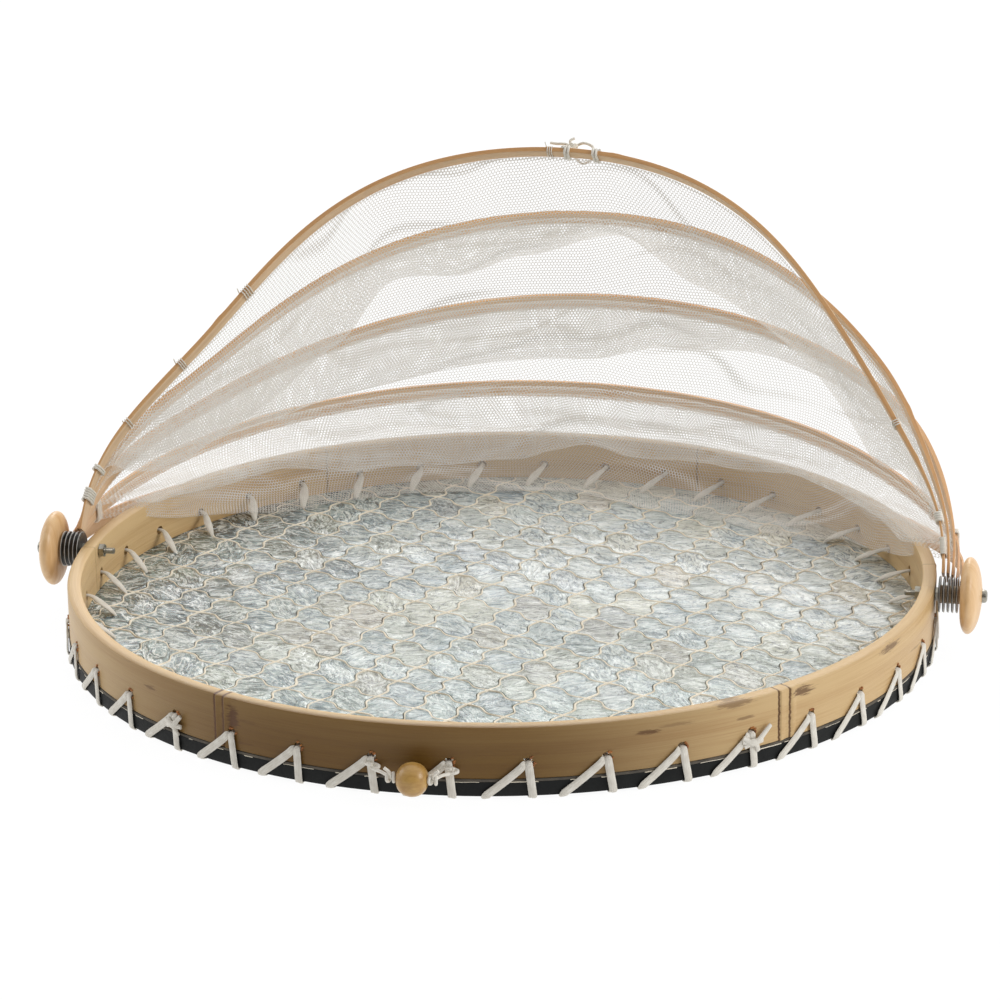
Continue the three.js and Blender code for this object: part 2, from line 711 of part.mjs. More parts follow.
// The catch's cord goes once round the hoop, up into a loop and once round again:
// each row is a place along the hoop, outward and across its band
const loopCrownDegrees = 86;
const loopOut = hoopThickness / 2 + loopCordRadius + netGap;
const loopSide = hoopWidth / 2 + loopCordRadius + netGap;
const loopHalf = 5;
const loopHeight = 4.6;
const loopTail = 4;
const loopCornerShare = 0.85;
const loopShoulderShare = 0.8;
const loopRows = [
  [-loopHalf - loopTail, loopOut + loopCordRadius, 0],
  [-loopHalf - loopCordRadius, loopOut, loopSide / 4],
  [-loopHalf, loopOut * loopCornerShare, loopSide],
  [-loopHalf, -loopOut * loopCornerShare, loopSide],
  [-loopHalf, -loopOut, 0],
  [-loopHalf, -loopOut * loopCornerShare, -loopSide],
  [-loopHalf, loopOut * loopCornerShare, -loopSide],
  [-loopHalf * loopShoulderShare, loopOut + loopHeight / 2, -loopSide / 4],
  [0, loopOut + loopHeight, 0],
  [loopHalf * loopShoulderShare, loopOut + loopHeight / 2, loopSide / 4],
  [loopHalf, loopOut * loopCornerShare, loopSide],
  [loopHalf, -loopOut * loopCornerShare, loopSide],
  [loopHalf, -loopOut, 0],
  [loopHalf, -loopOut * loopCornerShare, -loopSide],
  [loopHalf, loopOut * loopCornerShare, -loopSide],
  [loopHalf + loopCordRadius, loopOut, -loopSide / 4],
  [loopHalf + loopTail, loopOut + loopCordRadius, 0],
];
const loopSteps = 42;
const loopPlaces = loopRows.map(([along, outward, across]) => {
  const turn = THREE.MathUtils.radToDeg(along / frontHoop.crownRadius);
  return onHoop(frontHoop, loopCrownDegrees - turn, outward, across);
});
addPart('loop_cord', cord(loopPlaces, loopCordRadius, loopSteps), cordFinish);

const frontGore = gore(frontGoreDegrees, hangingRail(frontHoop, secondHoop, frontSagShares));
const loopRoom = cord(loopPlaces, loopCordRadius + netGap, loopSteps);
addPart('net_front_gore', cut(frontGore, [loopRoom]), netFinish);
addPart(
  'net_second_gore',
  gore(secondGoreDegrees, hangingRail(secondHoop, thirdHoop, secondSagShares)),
  netFinish,
);
addPart('net_third_gore', gore(thirdGoreDegrees, thirdRail), netFinish);
addPart('net_back_gore', gore(backGoreDegrees, backRail), netFinish);

export default model;
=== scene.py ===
import math

import bmesh
import bpy
import numpy as np
from mathutils import Matrix, Vector


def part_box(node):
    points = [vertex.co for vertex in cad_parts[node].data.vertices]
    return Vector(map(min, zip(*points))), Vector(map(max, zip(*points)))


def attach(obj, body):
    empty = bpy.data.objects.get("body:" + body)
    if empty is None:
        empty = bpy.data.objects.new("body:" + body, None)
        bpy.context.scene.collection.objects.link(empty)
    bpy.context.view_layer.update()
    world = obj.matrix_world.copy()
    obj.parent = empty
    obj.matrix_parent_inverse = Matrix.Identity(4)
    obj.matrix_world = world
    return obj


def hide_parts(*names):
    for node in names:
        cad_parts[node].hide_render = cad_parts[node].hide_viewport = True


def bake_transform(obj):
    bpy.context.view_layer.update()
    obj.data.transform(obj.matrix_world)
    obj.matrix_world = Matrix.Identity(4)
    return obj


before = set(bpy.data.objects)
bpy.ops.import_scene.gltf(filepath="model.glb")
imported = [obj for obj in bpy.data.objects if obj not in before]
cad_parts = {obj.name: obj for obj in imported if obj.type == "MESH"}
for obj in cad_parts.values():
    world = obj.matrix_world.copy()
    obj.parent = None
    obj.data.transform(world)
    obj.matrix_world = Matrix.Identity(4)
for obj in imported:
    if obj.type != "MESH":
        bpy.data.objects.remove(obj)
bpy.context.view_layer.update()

# Lengths below are in millimetres; meshes are written in metres.
MM = 0.001
rng = np.random.default_rng(20)
UP = np.array([0, 0, 1.0])

# sizes shared with the CAD, in millimetres and degrees

TRAY_RADIUS, RIM_INNER, BOARD_RADIUS, FOOT_RADIUS = 200.0, 193.5, 200.4, 176.05
MARGIN_LIFT, BOARD_TOP, FACE_TOP, RIM_TOP = 1.4, 7.9, 9.1, 32.1
PIVOT_HEIGHT, BOARD_HOLE_RADIUS, LACE_HOLE_Z, LACE_HOLE_RADIUS = 28.1, 179.5, 16.4, 2.25
STITCHES, FIRST_STITCH, BOARD_HOLE_TURN = 38, 264.8, 2.2
STITCH_PITCH = 360 / STITCHES
LACE_OUTSIDE, LACE_INSIDE, LACE_UNDER = 201.3, 192.75, 0.93
HOOP_WIDTH, HOOP_THICKNESS, HOOP_END = 8.2, 2.2, 1.1

# A hoop's opening in degrees, its pinch and skew as shares of the radius, and its radius at end and crown
HOOPS = {
    "front_hoop": dict(open=56.5, pinch=0.07, skew=0.015, end=202.95, crown=206.0),
    "second_hoop": dict(open=37.2, pinch=0.035, skew=0.036, end=204.95, crown=208.6),
    "third_hoop": dict(open=20.7, pinch=0.005, skew=0.04, end=206.95, crown=211.2),
    "fourth_hoop": dict(open=6.2, pinch=0.005, skew=-0.015, end=208.95, crown=213.8),
    "back_hoop": dict(open=-4.5, pinch=0.005, skew=-0.015, end=210.95, crown=216.4),
}


def add_object(name, data):
    made = bpy.data.objects.new(name, data)
    bpy.context.scene.collection.objects.link(made)
    return made


# camera

CAMERA_AZIMUTH, CAMERA_ELEVATION, CAMERA_ROLL = (math.radians(a) for a in (-10.94, 18.83, -0.78))
CAMERA_PLACE = (305.3, -1581.6, 612.2)
SENSOR_WIDTH, FOCAL_LENGTH, FAR_CLIP = 36, 133.18, 30


def look_from_the_photo():
    level = math.cos(CAMERA_ELEVATION)
    view = Vector((math.sin(CAMERA_AZIMUTH) * level, math.cos(CAMERA_AZIMUTH) * level,
                   -math.sin(CAMERA_ELEVATION)))
    side = view.cross(Vector((0, 0, 1))).normalized()
    top = side.cross(view)
    right = math.cos(CAMERA_ROLL) * side + math.sin(CAMERA_ROLL) * top
    up = math.cos(CAMERA_ROLL) * top - math.sin(CAMERA_ROLL) * side
    lens = bpy.data.cameras.new("photo_camera")
    lens.sensor_width = SENSOR_WIDTH
    lens.lens = FOCAL_LENGTH
    lens.clip_end = FAR_CLIP
    camera = add_object("photo_camera", lens)
    camera.matrix_world = Matrix((right, up, -view)).transposed().to_4x4()
    camera.matrix_world.translation = Vector(CAMERA_PLACE) * MM
    bpy.context.scene.camera = camera


look_from_the_photo()
bpy.context.scene.view_settings.view_transform = "Standard"

# materials


class Finish:
    """A node material, built socket by socket."""

    def __init__(self, name):
        self.material = bpy.data.materials.new(name)
        self.material.use_nodes = True
        self.tree = self.material.node_tree
        self.tree.nodes.clear()
        self.output = self.tree.nodes.new("ShaderNodeOutputMaterial")

    def put(self, kind, links=None, **settings):
        node = self.tree.nodes.new("ShaderNode" + kind)
        for key, value in settings.items():
            setattr(node, key, value)
        for key, value in (links or {}).items():
            socket = node.inputs[key]
            if isinstance(value, bpy.types.NodeSocket):
                self.tree.links.new(value, socket)
            else:
                socket.default_value = value
        return node

    def math(self, operation, *values):
        return self.put("Math", dict(enumerate(values)), operation=operation).outputs[0]

    def times(self, a, b):
        return self.math("MULTIPLY", a, b)

    def plus(self, a, b):
        return self.math("ADD", a, b)

    def most(self, a, b):
        return self.math("MAXIMUM", a, b)

    def apart(self, a, b):
        """How far two values are apart."""
        return self.math("ABSOLUTE", self.math("SUBTRACT", a, b))

    def sway(self, value, size):
        """A value from 0 to 1, centred on 0 and scaled."""
        return self.times(self.math("SUBTRACT", value, 0.5), size)

    def vector(self, operation, *values):
        node = self.put("VectorMath", dict(enumerate(values)), operation=operation)
        return node.outputs["Value" if operation == "LENGTH" else "Vector"]

    def attribute(self, name, output="Vector"):
        return self.put("Attribute", attribute_name=name).outputs[output]

    def place(self):
        return self.put("TexCoord").outputs["Object"]

    def noise(self, where, scale, detail, roughness, distortion=0.0):
        """Noise at one scale, or at three: one for each direction."""
        if isinstance(scale, tuple):
            where = self.put("Mapping", {"Vector": where, "Scale": scale}).outputs[0]
            scale = 1.0
        return self.put("TexNoise", {"Vector": where, "Scale": scale, "Detail": detail,
                                     "Roughness": roughness, "Distortion": distortion}).outputs["Fac"]

    def ramp(self, fac, stops):
        node = self.put("ValToRGB", {"Fac": fac})
        elements = node.color_ramp.elements
        while len(elements) < len(stops):
            elements.new(0.5)
        for element, (place, colour) in zip(elements, stops):
            element.position = place
            element.color = colour
        return node.outputs["Color"]

    def steps(self, fac, low, high, end=1.0, start=0.0):
        """Goes from start to end while fac goes from low to high."""
        return self.put("MapRange", {"Value": fac, "From Min": low, "From Max": high, "To Min": start,
                                     "To Max": end}, clamp=True).outputs[0]

    def mix(self, fac, a, b, blend="MIX"):
        return self.put("MixRGB", {"Fac": fac, "Color1": a, "Color2": b}, blend_type=blend).outputs[0]

    def bump(self, height, strength, distance):
        return self.put("Bump", {"Height": height, "Strength": strength, "Distance": distance}).outputs[0]

    def close(self, **inputs):
        names = {key.replace("_", " "): value for key, value in inputs.items()}
        shader = self.put("BsdfPrincipled", names)
        self.tree.links.new(shader.outputs[0], self.output.inputs["Surface"])
        return self.material


def rgb(*values):
    """A colour given as seen on screen, 0 to 255."""
    linear = [((v / 255 + 0.055) / 1.055) ** 2.4 if v > 10.3 else v / 255 / 12.92 for v in values]
    return (*linear, 1.0)


def bamboo(name, light, dark, stain, roughness, fibre, shade_tone, stains, nodes=(), streaks=()):
    """Long grain from the piece's own grain attribute: along, across and through, in millimetres.

    Nodes have a place along, a half width and a depth; streaks have a place along and across, a half
    length, a half height and a depth. A second attribute says where the shade colour is laid over: on the
    rim, painted shade on the front over a little darker tint on all the outside; on the hoops, a darker
    tint on the cut edges' corners.
    """
    f = Finish(name)
    grain = f.attribute("grain")
    broad = f.noise(grain, (0.006, 0.16, 0.16), 3, 0.55)
    fine = f.noise(grain, (0.03 * fibre, 1.9 * fibre, 1.9 * fibre), 4, 0.65)
    hair = f.noise(grain, (0.06, 6.0, 6.0), 2, 0.6)
    lines = f.noise(grain, (0.011, 0.62, 0.5), 3, 0.6)
    mottle = f.plus(f.times(broad, 0.6), f.times(fine, 0.4))
    body = f.ramp(mottle, [(0.3, dark), (0.55, light), (0.75, light)])
    body = f.mix(f.steps(hair, 0.6, 0.76, 0.35), body, dark)
    body = f.mix(f.steps(lines, 0.53, 0.68, 0.3), body, dark)
    # the shade colour laid over by the second attribute: painted shade on the rim's front, a darker tint
    # elsewhere
    body = f.mix(f.attribute("tone", "Fac"), body, shade_tone, "MULTIPLY")
    along = f.put("SeparateXYZ", {0: grain}).outputs[0]
    along = f.plus(along, f.sway(f.noise(grain, (0.1, 0.35, 0.3), 3, 0.7), 1.6))
    mark = f.steps(f.noise(grain, (0.035, 0.28, 0.2), 3, 0.6), 0.68, 0.74, stains)
    for where, width, depth in nodes:
        mark = f.most(mark, f.steps(f.apart(along, where), width, width * 0.25, depth))
    ragged = f.sway(f.noise(grain, (0.12, 1.1, 0.5), 4, 0.75), 3.2)
    for where, level, length, tall, depth in streaks:
        moved = f.vector("SUBTRACT", grain, (where, level, 0.0))
        reach = f.vector("LENGTH", f.vector("MULTIPLY", moved, (1 / length, 1 / tall, 0.0)))
        mark = f.most(mark, f.steps(f.plus(reach, ragged), 1.0, 0.55, depth))
    body = f.mix(mark, body, stain)
    height = f.plus(fine, f.times(hair, 0.5))
    rough = f.plus(f.times(broad, 0.16), roughness - 0.08)
    return f.close(Base_Color=body, Roughness=rough, Normal=f.bump(height, 0.35, 0.0003),
                   Coat_Weight=0.04, Coat_Roughness=0.3, Specular_IOR_Level=0.3)


def shell():
    """Lacquered shell: pale leaves with blue-grey fibres, crinkled so that its gloss breaks up; painted shade
    darkens it on the left and in front, and painted highlights lie along its folds.
    """
    f = Finish("capiz_shell")
    where = f.place()
    island = f.put("NewGeometry").outputs["Random Per Island"]
    away = f.put("VectorMath", {0: (3.1, 1.7, 0.0), "Scale": island}, operation="SCALE").outputs[0]
    shifted = f.vector("ADD", where, away)
    turn = f.plus(f.sway(island, 2.2), 0.25)
    leaf = f.put("VectorRotate", {"Vector": shifted, "Angle": turn}, rotation_type="Z_AXIS").outputs[0]
    fold = f.noise(leaf, (42.0, 92.0, 100.0), 3, 0.5, 2.6)
    ripple = f.noise(leaf, (74.0, 190.0, 100.0), 4, 0.55, 2.4)
    fleck = f.noise(leaf, (240.0, 700.0, 100.0), 3, 0.7, 1.4)
    cloud = f.noise(shifted, 45.0, 3, 0.55)
    kind = f.math("FRACT", f.times(island, 13.7))
    pale = f.ramp(kind, [(0.0, rgb(222, 229, 224)), (0.35, rgb(228, 232, 224)), (0.6, rgb(211, 221, 218)),
                         (0.78, rgb(230, 230, 214)), (0.9, rgb(226, 220, 206)), (1.0, rgb(204, 215, 217))])
    deep = f.ramp(kind, [(0.0, rgb(132, 158, 170)), (0.5, rgb(122, 149, 163)), (0.78, rgb(172, 174, 154)),
                         (0.9, rgb(180, 166, 148)), (1.0, rgb(104, 134, 152))])
    x, y, _ = f.put("SeparateXYZ", {0: where}).outputs

    # grows from the middle of the tray to its left, where painted shade darkens the shell and its dark
    # fibres, blue patches and painted highlights are stronger
    def leftwards(start, end):
        return f.steps(x, 0.0, -0.16, end, start)

    def lines(source, level, width, depth=1.0):
        return f.steps(f.apart(source, level), width, width * 0.3, depth)

    body = f.mix(f.steps(cloud, 0.4, 0.75, 0.7), pale, deep)
    body = f.mix(f.times(f.steps(ripple, 0.5, 0.62), leftwards(0.5, 0.9)), body, deep)
    dark = f.most(lines(fold, 0.56, 0.022), lines(ripple, 0.6, 0.024, 0.8))
    body = f.mix(f.times(dark, leftwards(0.7, 0.95)), body, rgb(52, 74, 92))
    body = f.mix(f.steps(fleck, 0.6, 0.7, 0.22), body, rgb(86, 106, 118))
    # painted shade on the left and in front, blue patches that grow to the left, and painted highlights along
    # the folds
    shaded = f.most(leftwards(0.0, 1.0), f.steps(y, 0.06, -0.15))
    body = f.mix(shaded, body, rgb(158, 178, 178), "MULTIPLY")
    patch = f.steps(f.noise(where, 17.0, 2, 0.5), 0.47, 0.62)
    body = f.mix(f.times(patch, leftwards(0.18, 0.73)), body, rgb(118, 148, 164), "MULTIPLY")
    # painted highlights: pale lines along the folds, stronger on the left
    painted_glint = f.most(lines(fold, 0.46, 0.03), lines(ripple, 0.42, 0.04))
    body = f.mix(f.times(painted_glint, leftwards(0.42, 0.82)), body, rgb(246, 249, 245))
    height = f.plus(f.plus(fold, f.times(ripple, 0.5)), f.times(fleck, 0.06))
    return f.close(Base_Color=body, Roughness=f.plus(f.times(cloud, 0.14), 0.12),
                   Normal=f.bump(height, 0.9, 0.0026), Coat_Weight=0.45, Coat_Roughness=0.06,
                   Specular_IOR_Level=0.7)


def plain(name, light, dark, roughness, scale, grit, metal=0.0, coat=0.0, gloss=0.5):
    f = Finish(name)
    where = f.place()
    broad = f.noise(where, scale, 4, 0.6)
    fine = f.noise(where, scale * 9, 3, 0.6)
    body = f.mix(f.steps(broad, 0.35, 0.68), light, dark)
    return f.close(Base_Color=body, Roughness=f.plus(f.times(fine, 0.2), roughness - 0.1), Metallic=metal,
                   Normal=f.bump(fine, grit, 0.0003), Coat_Weight=coat, Specular_IOR_Level=gloss)


def turned_wood(name, light, dark, stretch, roughness):
    f = Finish(name)
    where = f.place()
    rings = f.noise(where, stretch, 4, 0.6, 0.4)
    pores = f.noise(where, tuple(4 * s for s in stretch), 3, 0.6)
    body = f.mix(f.steps(rings, 0.32, 0.7), light, dark)
    body = f.mix(f.steps(pores, 0.6, 0.75, 0.3), body, dark)
    return f.close(Base_Color=body, Roughness=f.plus(f.times(rings, 0.15), roughness - 0.05),
                   Normal=f.bump(pores, 0.15, 0.0002), Coat_Weight=0.25, Coat_Roughness=0.25)


def thread(name, light, dark):
    """Fibres that run along the piece, from its grain attribute."""
    f = Finish(name)
    grain = f.attribute("grain")
    fibre = f.noise(grain, (0.25, 4.5, 4.5), 3, 0.6)
    cloud = f.noise(grain, (0.2, 0.2, 0.2), 2, 0.5)
    body = f.mix(f.steps(fibre, 0.35, 0.75), light, dark)
    body = f.mix(f.steps(cloud, 0.5, 0.75, 0.4), body, dark)
    return f.close(Base_Color=body, Roughness=0.72, Normal=f.bump(fibre, 0.5, 0.0003), Sheen_Weight=0.15)


# The net: distance between holes, a hole's radius and half its soft edge, and the distance between creases
NET_PITCH, NET_HOLE, NET_SOFT, CREASE_PITCH = 1.62, 0.695, 0.045, 33.0


def gauze():
    """White knitted net: round holes on a hexagonal lattice in the cloth's own flat millimetres; it glows a
    little as painted light, and is darker along its creases as painted shade.
    """
    f = Finish("net_gauze")
    cloth = f.attribute("cloth")
    wide, long = NET_PITCH, NET_PITCH * math.sqrt(3)

    def from_hole(shift):
        moved = f.vector("DIVIDE", f.vector("ADD", cloth, shift), (wide, long, 1.0))
        part = f.vector("SUBTRACT", f.vector("FRACTION", moved), (0.5, 0.5, 0.0))
        return f.vector("LENGTH", f.vector("MULTIPLY", part, (wide, long, 0.0)))

    near = f.math("MINIMUM", from_hole((0.0, 0.0, 0.0)), from_hole((wide / 2, long / 2, 0.0)))
    # long creases that run with the hoops and fade in and out
    bend = f.times(f.noise(cloth, (0.006, 0.008, 0.01), 2, 0.5), 75.0)
    across = f.plus(f.put("SeparateXYZ", {0: cloth}).outputs[1], bend)
    phase = f.math("FRACT", f.math("DIVIDE", across, CREASE_PITCH))
    fade = f.steps(f.noise(cloth, (0.012, 0.03, 0.01), 1, 0.5), 0.4, 0.52)
    crease = f.times(f.steps(f.apart(phase, 0.5), 0.09, 0.01), fade)
    dense = f.math("SUBTRACT", f.times(crease, 0.16), f.attribute("open", "Fac"))
    yarn = f.steps(f.plus(near, dense), NET_HOLE - NET_SOFT, NET_HOLE + NET_SOFT)
    cloud = f.noise(cloth, (0.03, 0.03, 0.03), 3, 0.5)
    body = f.mix(f.steps(cloud, 0.35, 0.7), rgb(184, 178, 169), rgb(170, 164, 154))
    # darker along the creases: painted shade
    body = f.mix(f.times(crease, 0.14), body, rgb(120, 116, 106))
    # the glow is painted light that evens out how light the threads look
    return f.close(Base_Color=body, Roughness=0.85, Alpha=yarn, Sheen_Weight=0.1,
                   Emission_Color=(1.0, 0.975, 0.93, 1.0), Emission_Strength=0.29,
                   Normal=f.bump(near, 0.4, 0.0002))


# Bamboo nodes round the rim: degrees, half width of the dark line in millimetres, how dark
RIM_NODES = [(243.3, 1.1, 1.0), (244.6, 1.0, 0.95), (316.4, 0.6, 0.95), (318.1, 0.6, 0.9),
             (8.0, 0.6, 0.4), (70.0, 0.7, 0.6), (128.0, 0.7, 0.6), (182.0, 0.5, 0.35)]
# Brown streaks: degrees, height, half length, half height and how dark
RIM_MARKS = [(298.6, 25.5, 6.4, 1.2, 0.8), (309.9, 31.0, 9.9, 1.9, 0.55), (311.3, 23.8, 5.1, 0.9, 0.5),
             (320.3, 28.6, 6.8, 2.4, 0.8), (338.4, 29.5, 9.8, 2.0, 0.7), (231.3, 24.3, 4.5, 1.3, 0.6),
             (246.1, 23.0, 3.2, 7.0, 0.9), (302.1, 27.0, 10.2, 0.9, 0.35)]


def along_rim(rows):
    """Rows that start with degrees, with the way round the rim in millimetres instead."""
    return [(math.radians(row[0]) * TRAY_RADIUS, *row[1:]) for row in rows]


M_RIM = bamboo("rim_bamboo", rgb(213, 182, 133), rgb(192, 154, 104), rgb(88, 55, 28), 0.4, 1.0,
               (0.22, 0.152, 0.03, 1.0), 0.35, along_rim(RIM_NODES), along_rim(RIM_MARKS))
M_HOOP = bamboo("hoop_bamboo", rgb(226, 196, 160), rgb(196, 156, 114), rgb(140, 96, 60), 0.5, 1.4,
                (0.84, 0.67, 0.48, 1.0), 0.3)
M_SHELL = shell()
M_GROUT = plain("cream_grout", rgb(236, 227, 208), rgb(216, 204, 182), 0.5, 90.0, 0.4)
M_GROOVE = plain("dark_groove", rgb(92, 84, 72), rgb(58, 54, 48), 0.7, 120.0, 0.4)
M_BOARD = plain("black_board", rgb(22, 24, 23), rgb(9, 10, 10), 0.6, 60.0, 0.5, gloss=0.22)
M_LACE = thread("white_lacing", rgb(232, 228, 218), rgb(196, 188, 174))
M_CORD = thread("white_cord", rgb(240, 236, 226), rgb(208, 200, 186))
M_NET = gauze()
M_STEEL = plain("plain_steel", rgb(176, 172, 160), rgb(138, 134, 124), 0.3, 300.0, 0.15, metal=1.0)
M_ZINC = plain("zinc_edge", rgb(202, 200, 194), rgb(176, 174, 168), 0.32, 300.0, 0.15, metal=0.35)
M_WASHER = plain("black_washer", rgb(34, 33, 32), rgb(16, 16, 16), 0.35, 300.0, 0.1, coat=0.3)
M_KNOB = turned_wood("knob_wood", rgb(228, 192, 144), rgb(210, 166, 112), (60.0, 300.0, 60.0), 0.4)
M_BEAD = turned_wood("bead_wood", rgb(190, 152, 84), rgb(160, 118, 56), (120.0, 300.0, 300.0), 0.32)
M_BURN = plain("burnt_hole", rgb(178, 116, 60), rgb(120, 68, 30), 0.7, 400.0, 0.5)

# mesh helpers


def write_attribute(mesh, key, rows):
    """One row per point: a number, or three."""
    rows = np.asarray(rows, np.float32)
    kind, field = ("FLOAT", "value") if rows.ndim == 1 else ("FLOAT_VECTOR", "vector")
    layer = mesh.attributes.get(key) or mesh.attributes.new(key, kind, "POINT")
    layer.data.foreach_set(field, rows.ravel())


def build(name, points, faces, material, smooth=30.0, **attributes):
    """A mesh piece from points in millimetres; each attribute has one row per point."""
    mesh = bpy.data.meshes.new(name)
    points = np.asarray(points, float).reshape(-1, 3)
    mesh.from_pydata((points * MM).tolist(), [], [list(map(int, face)) for face in faces])
    mesh.validate()
    for key, rows in attributes.items():
        write_attribute(mesh, key, rows)
    mesh.materials.append(material)
    shade(mesh, smooth)
    return add_object(name, mesh)


def shade(mesh, degrees):
    mesh.polygons.foreach_set("use_smooth", [True] * len(mesh.polygons))
    mesh.set_sharp_from_angle(angle=math.radians(degrees))
    mesh.update()


def band_faces(rows, count, closed_rows=False, closed_ring=True, start=0):
    """Quads between neighbouring rows of count points."""
    faces = []
    for row in range(rows if closed_rows else rows - 1):
        a, b = start + row * count, start + ((row + 1) % rows) * count
        for k in range(count if closed_ring else count - 1):
            n = (k + 1) % count
            faces.append((a + k, a + n, b + n, b + k))
    return faces


def loft(rings, start=0):
    """Faces of a tube through rings of points, with end caps."""
    rows, count = rings.shape[:2]
    faces = band_faces(rows, count, start=start)
    faces.append(tuple(start + k for k in reversed(range(count))))
    faces.append(tuple(start + (rows - 1) * count + k for k in range(count)))
    return faces


class Heap:
    """Collects many small shapes into one mesh."""

    def __init__(self):
        self.points, self.faces, self.grain, self.size = [], [], [], 0

    def add(self, rings, grain=None):
        flat = rings.reshape(-1, 3)
        self.faces += loft(rings, self.size)
        self.points.append(flat)
        self.grain.append(flat if grain is None else grain.reshape(-1, 3))
        self.size += len(flat)

    def piece(self, name, material, smooth=40.0, **extra):
        return build(name, np.vstack(self.points), self.faces, material, smooth,
                     grain=np.vstack(self.grain), **extra)


def unit(v):
    return v / np.maximum(np.linalg.norm(v, axis=-1, keepdims=True), 1e-12)


def circle(count):
    return np.linspace(0, 2 * np.pi, count, endpoint=False)


def ease(x, low, high):
    t = np.clip((np.asarray(x, float) - low) / (high - low), 0, 1)
    return t * t * (3 - 2 * t)


def around(radius, degrees, z):
    turn = np.radians(degrees)
    return np.stack(np.broadcast_arrays(radius * np.cos(turn), radius * np.sin(turn), z), -1)


def places(*rows):
    """Places from rows of radius, degrees and height."""
    return around(*np.transpose(rows))


def run_length(line):
    """The length of a line up to each of its points."""
    return np.r_[0, np.cumsum(np.linalg.norm(np.diff(line, axis=0), axis=1))]


def smooth_path(points, per_span):
    """Catmull-Rom line through the points."""
    p = np.asarray(points, float)
    p = np.vstack([2 * p[0] - p[1], p, 2 * p[-1] - p[-2]])
    t = np.linspace(0, 1, per_span, endpoint=False)[:, None]
    out = []
    for a, b, c, d in zip(p[:-3], p[1:-2], p[2:-1], p[3:]):
        out.append(0.5 * (2 * b + (c - a) * t + (2 * a - 5 * b + 4 * c - d) * t ** 2
                          + (3 * b - a - 3 * c + d) * t ** 3))
    return np.vstack([*out, p[-2]])


def tube_rings(line, radius, sides):
    """Rings round a line, with a frame carried along it; returns rings and their grain places."""
    line = np.asarray(line, float)
    ahead = unit(np.gradient(line, axis=0))
    seed = UP if abs(ahead[0][2]) < 0.9 else np.array([1.0, 0.0, 0.0])
    normal = unit(np.cross(ahead[0], seed))
    normals = []
    for direction in ahead:
        normal = unit(normal - direction * (normal @ direction))
        normals.append(normal)
    normals = np.array(normals)
    binormals = np.cross(ahead, normals)
    turn = circle(sides)[None]
    radius = np.broadcast_to(np.asarray(radius, float), (len(line),))[:, None]
    across, out = radius * np.cos(turn), radius * np.sin(turn)
    rings = line[:, None] + across[..., None] * normals[:, None] + out[..., None] * binormals[:, None]
    return rings, np.stack([np.broadcast_to(run_length(line)[:, None], across.shape), across, out], -1)


# A flat strip's section: shares of its half width and of its thickness; the crown is added at its middle
STRIP_SECTION = [(-1, 0.0), (-0.8, -0.5), (0, -0.5), (0.8, -0.5), (1, 0.0), (0.8, 0.5), (0, 0.5), (-0.8, 0.5)]
STRIP_CROWN = 6


def ribbon_rings(line, widths, faces_out, thickness, crown):
    """A flat strip along a line: faces_out is the direction its face looks at each point."""
    ahead = unit(np.gradient(line, axis=0))
    out = unit(faces_out - ahead * np.sum(faces_out * ahead, 1, keepdims=True))
    side = np.cross(ahead, out)
    half = widths[:, None] / 2
    length = run_length(line)[:, None]
    section = [(a, b + crown * (n == STRIP_CROWN)) for n, (a, b) in enumerate(STRIP_SECTION)]
    rings = np.stack([line + side * half * a + out * thickness * b for a, b in section], 1)
    grain = np.stack([np.hstack([length, half * a, np.full_like(half, b * thickness)])
                      for a, b in section], 1)
    return rings, grain


def lay_strip(heap, line, widths, faces, per_span, thickness, crown):
    """A flat strip through a few places, with a width and a direction to look in at each of them."""
    knots = np.linspace(0, 1, len(line))
    line = smooth_path(line, per_span)
    t = np.linspace(0, 1, len(line))
    look = np.stack([np.interp(t, knots, part) for part in np.asarray(faces, float).T], 1)
    heap.add(*ribbon_rings(line, np.interp(t, knots, widths), look, thickness, crown))


def turned(name, profile, segments, material, place=(0, 0, 0), axis="Z", sharp=30.0, closed=True):
    """A turned piece from (radius, height) pairs, in a closed profile or from axis to axis."""
    turn = circle(segments)[:, None]
    radius, height = np.array(profile, float).T
    rings = np.stack([radius * np.cos(turn), radius * np.sin(turn),
                      np.broadcast_to(height, (segments, len(height)))], -1)
    points = rings.reshape(-1, 3)
    if axis != "Z":
        points = points[:, [2, 0, 1]]
    if axis == "-X":
        points = points * (-1, -1, 1)
    piece = build(name, points + np.array(place), band_faces(segments, len(profile), True, closed), material,
                  sharp)
    tidy(piece)
    return piece


def tidy(piece):
    """Merges doubled points, as on a turned piece's axis, and points faces out."""
    work = bmesh.new()
    work.from_mesh(piece.data)
    bmesh.ops.remove_doubles(work, verts=work.verts, dist=1e-7)
    bmesh.ops.dissolve_degenerate(work, edges=work.edges, dist=1e-8)
    bmesh.ops.recalc_face_normals(work, faces=work.faces)
    work.to_mesh(piece.data)
    work.free()


def carve(piece, cutter, sharp):
    """Cuts a piece by another, drops the cutter and shades the piece anew."""
    modifier = piece.modifiers.new("holes", "BOOLEAN")
    modifier.object = cutter
    modifier.solver = "EXACT"
    bpy.context.view_layer.update()
    made = bpy.data.meshes.new_from_object(piece.evaluated_get(bpy.context.evaluated_depsgraph_get()))
    piece.modifiers.clear()
    piece.data = made
    bpy.data.objects.remove(cutter)
    shade(piece.data, sharp)


def settle(piece, body, slot, *nodes):
    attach(piece, body)
    if nodes:
        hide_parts(*nodes)


# tray

PEG_LOW, PEG_HIGH, PEG_PAST_RIM, PIVOT_HOLE_RADIUS = -4.0, 14.0, 3, 1.8
FACE_HOLE_RADIUS = 1.7


def hole_angle(stitch):
    return FIRST_STITCH + stitch * STITCH_PITCH


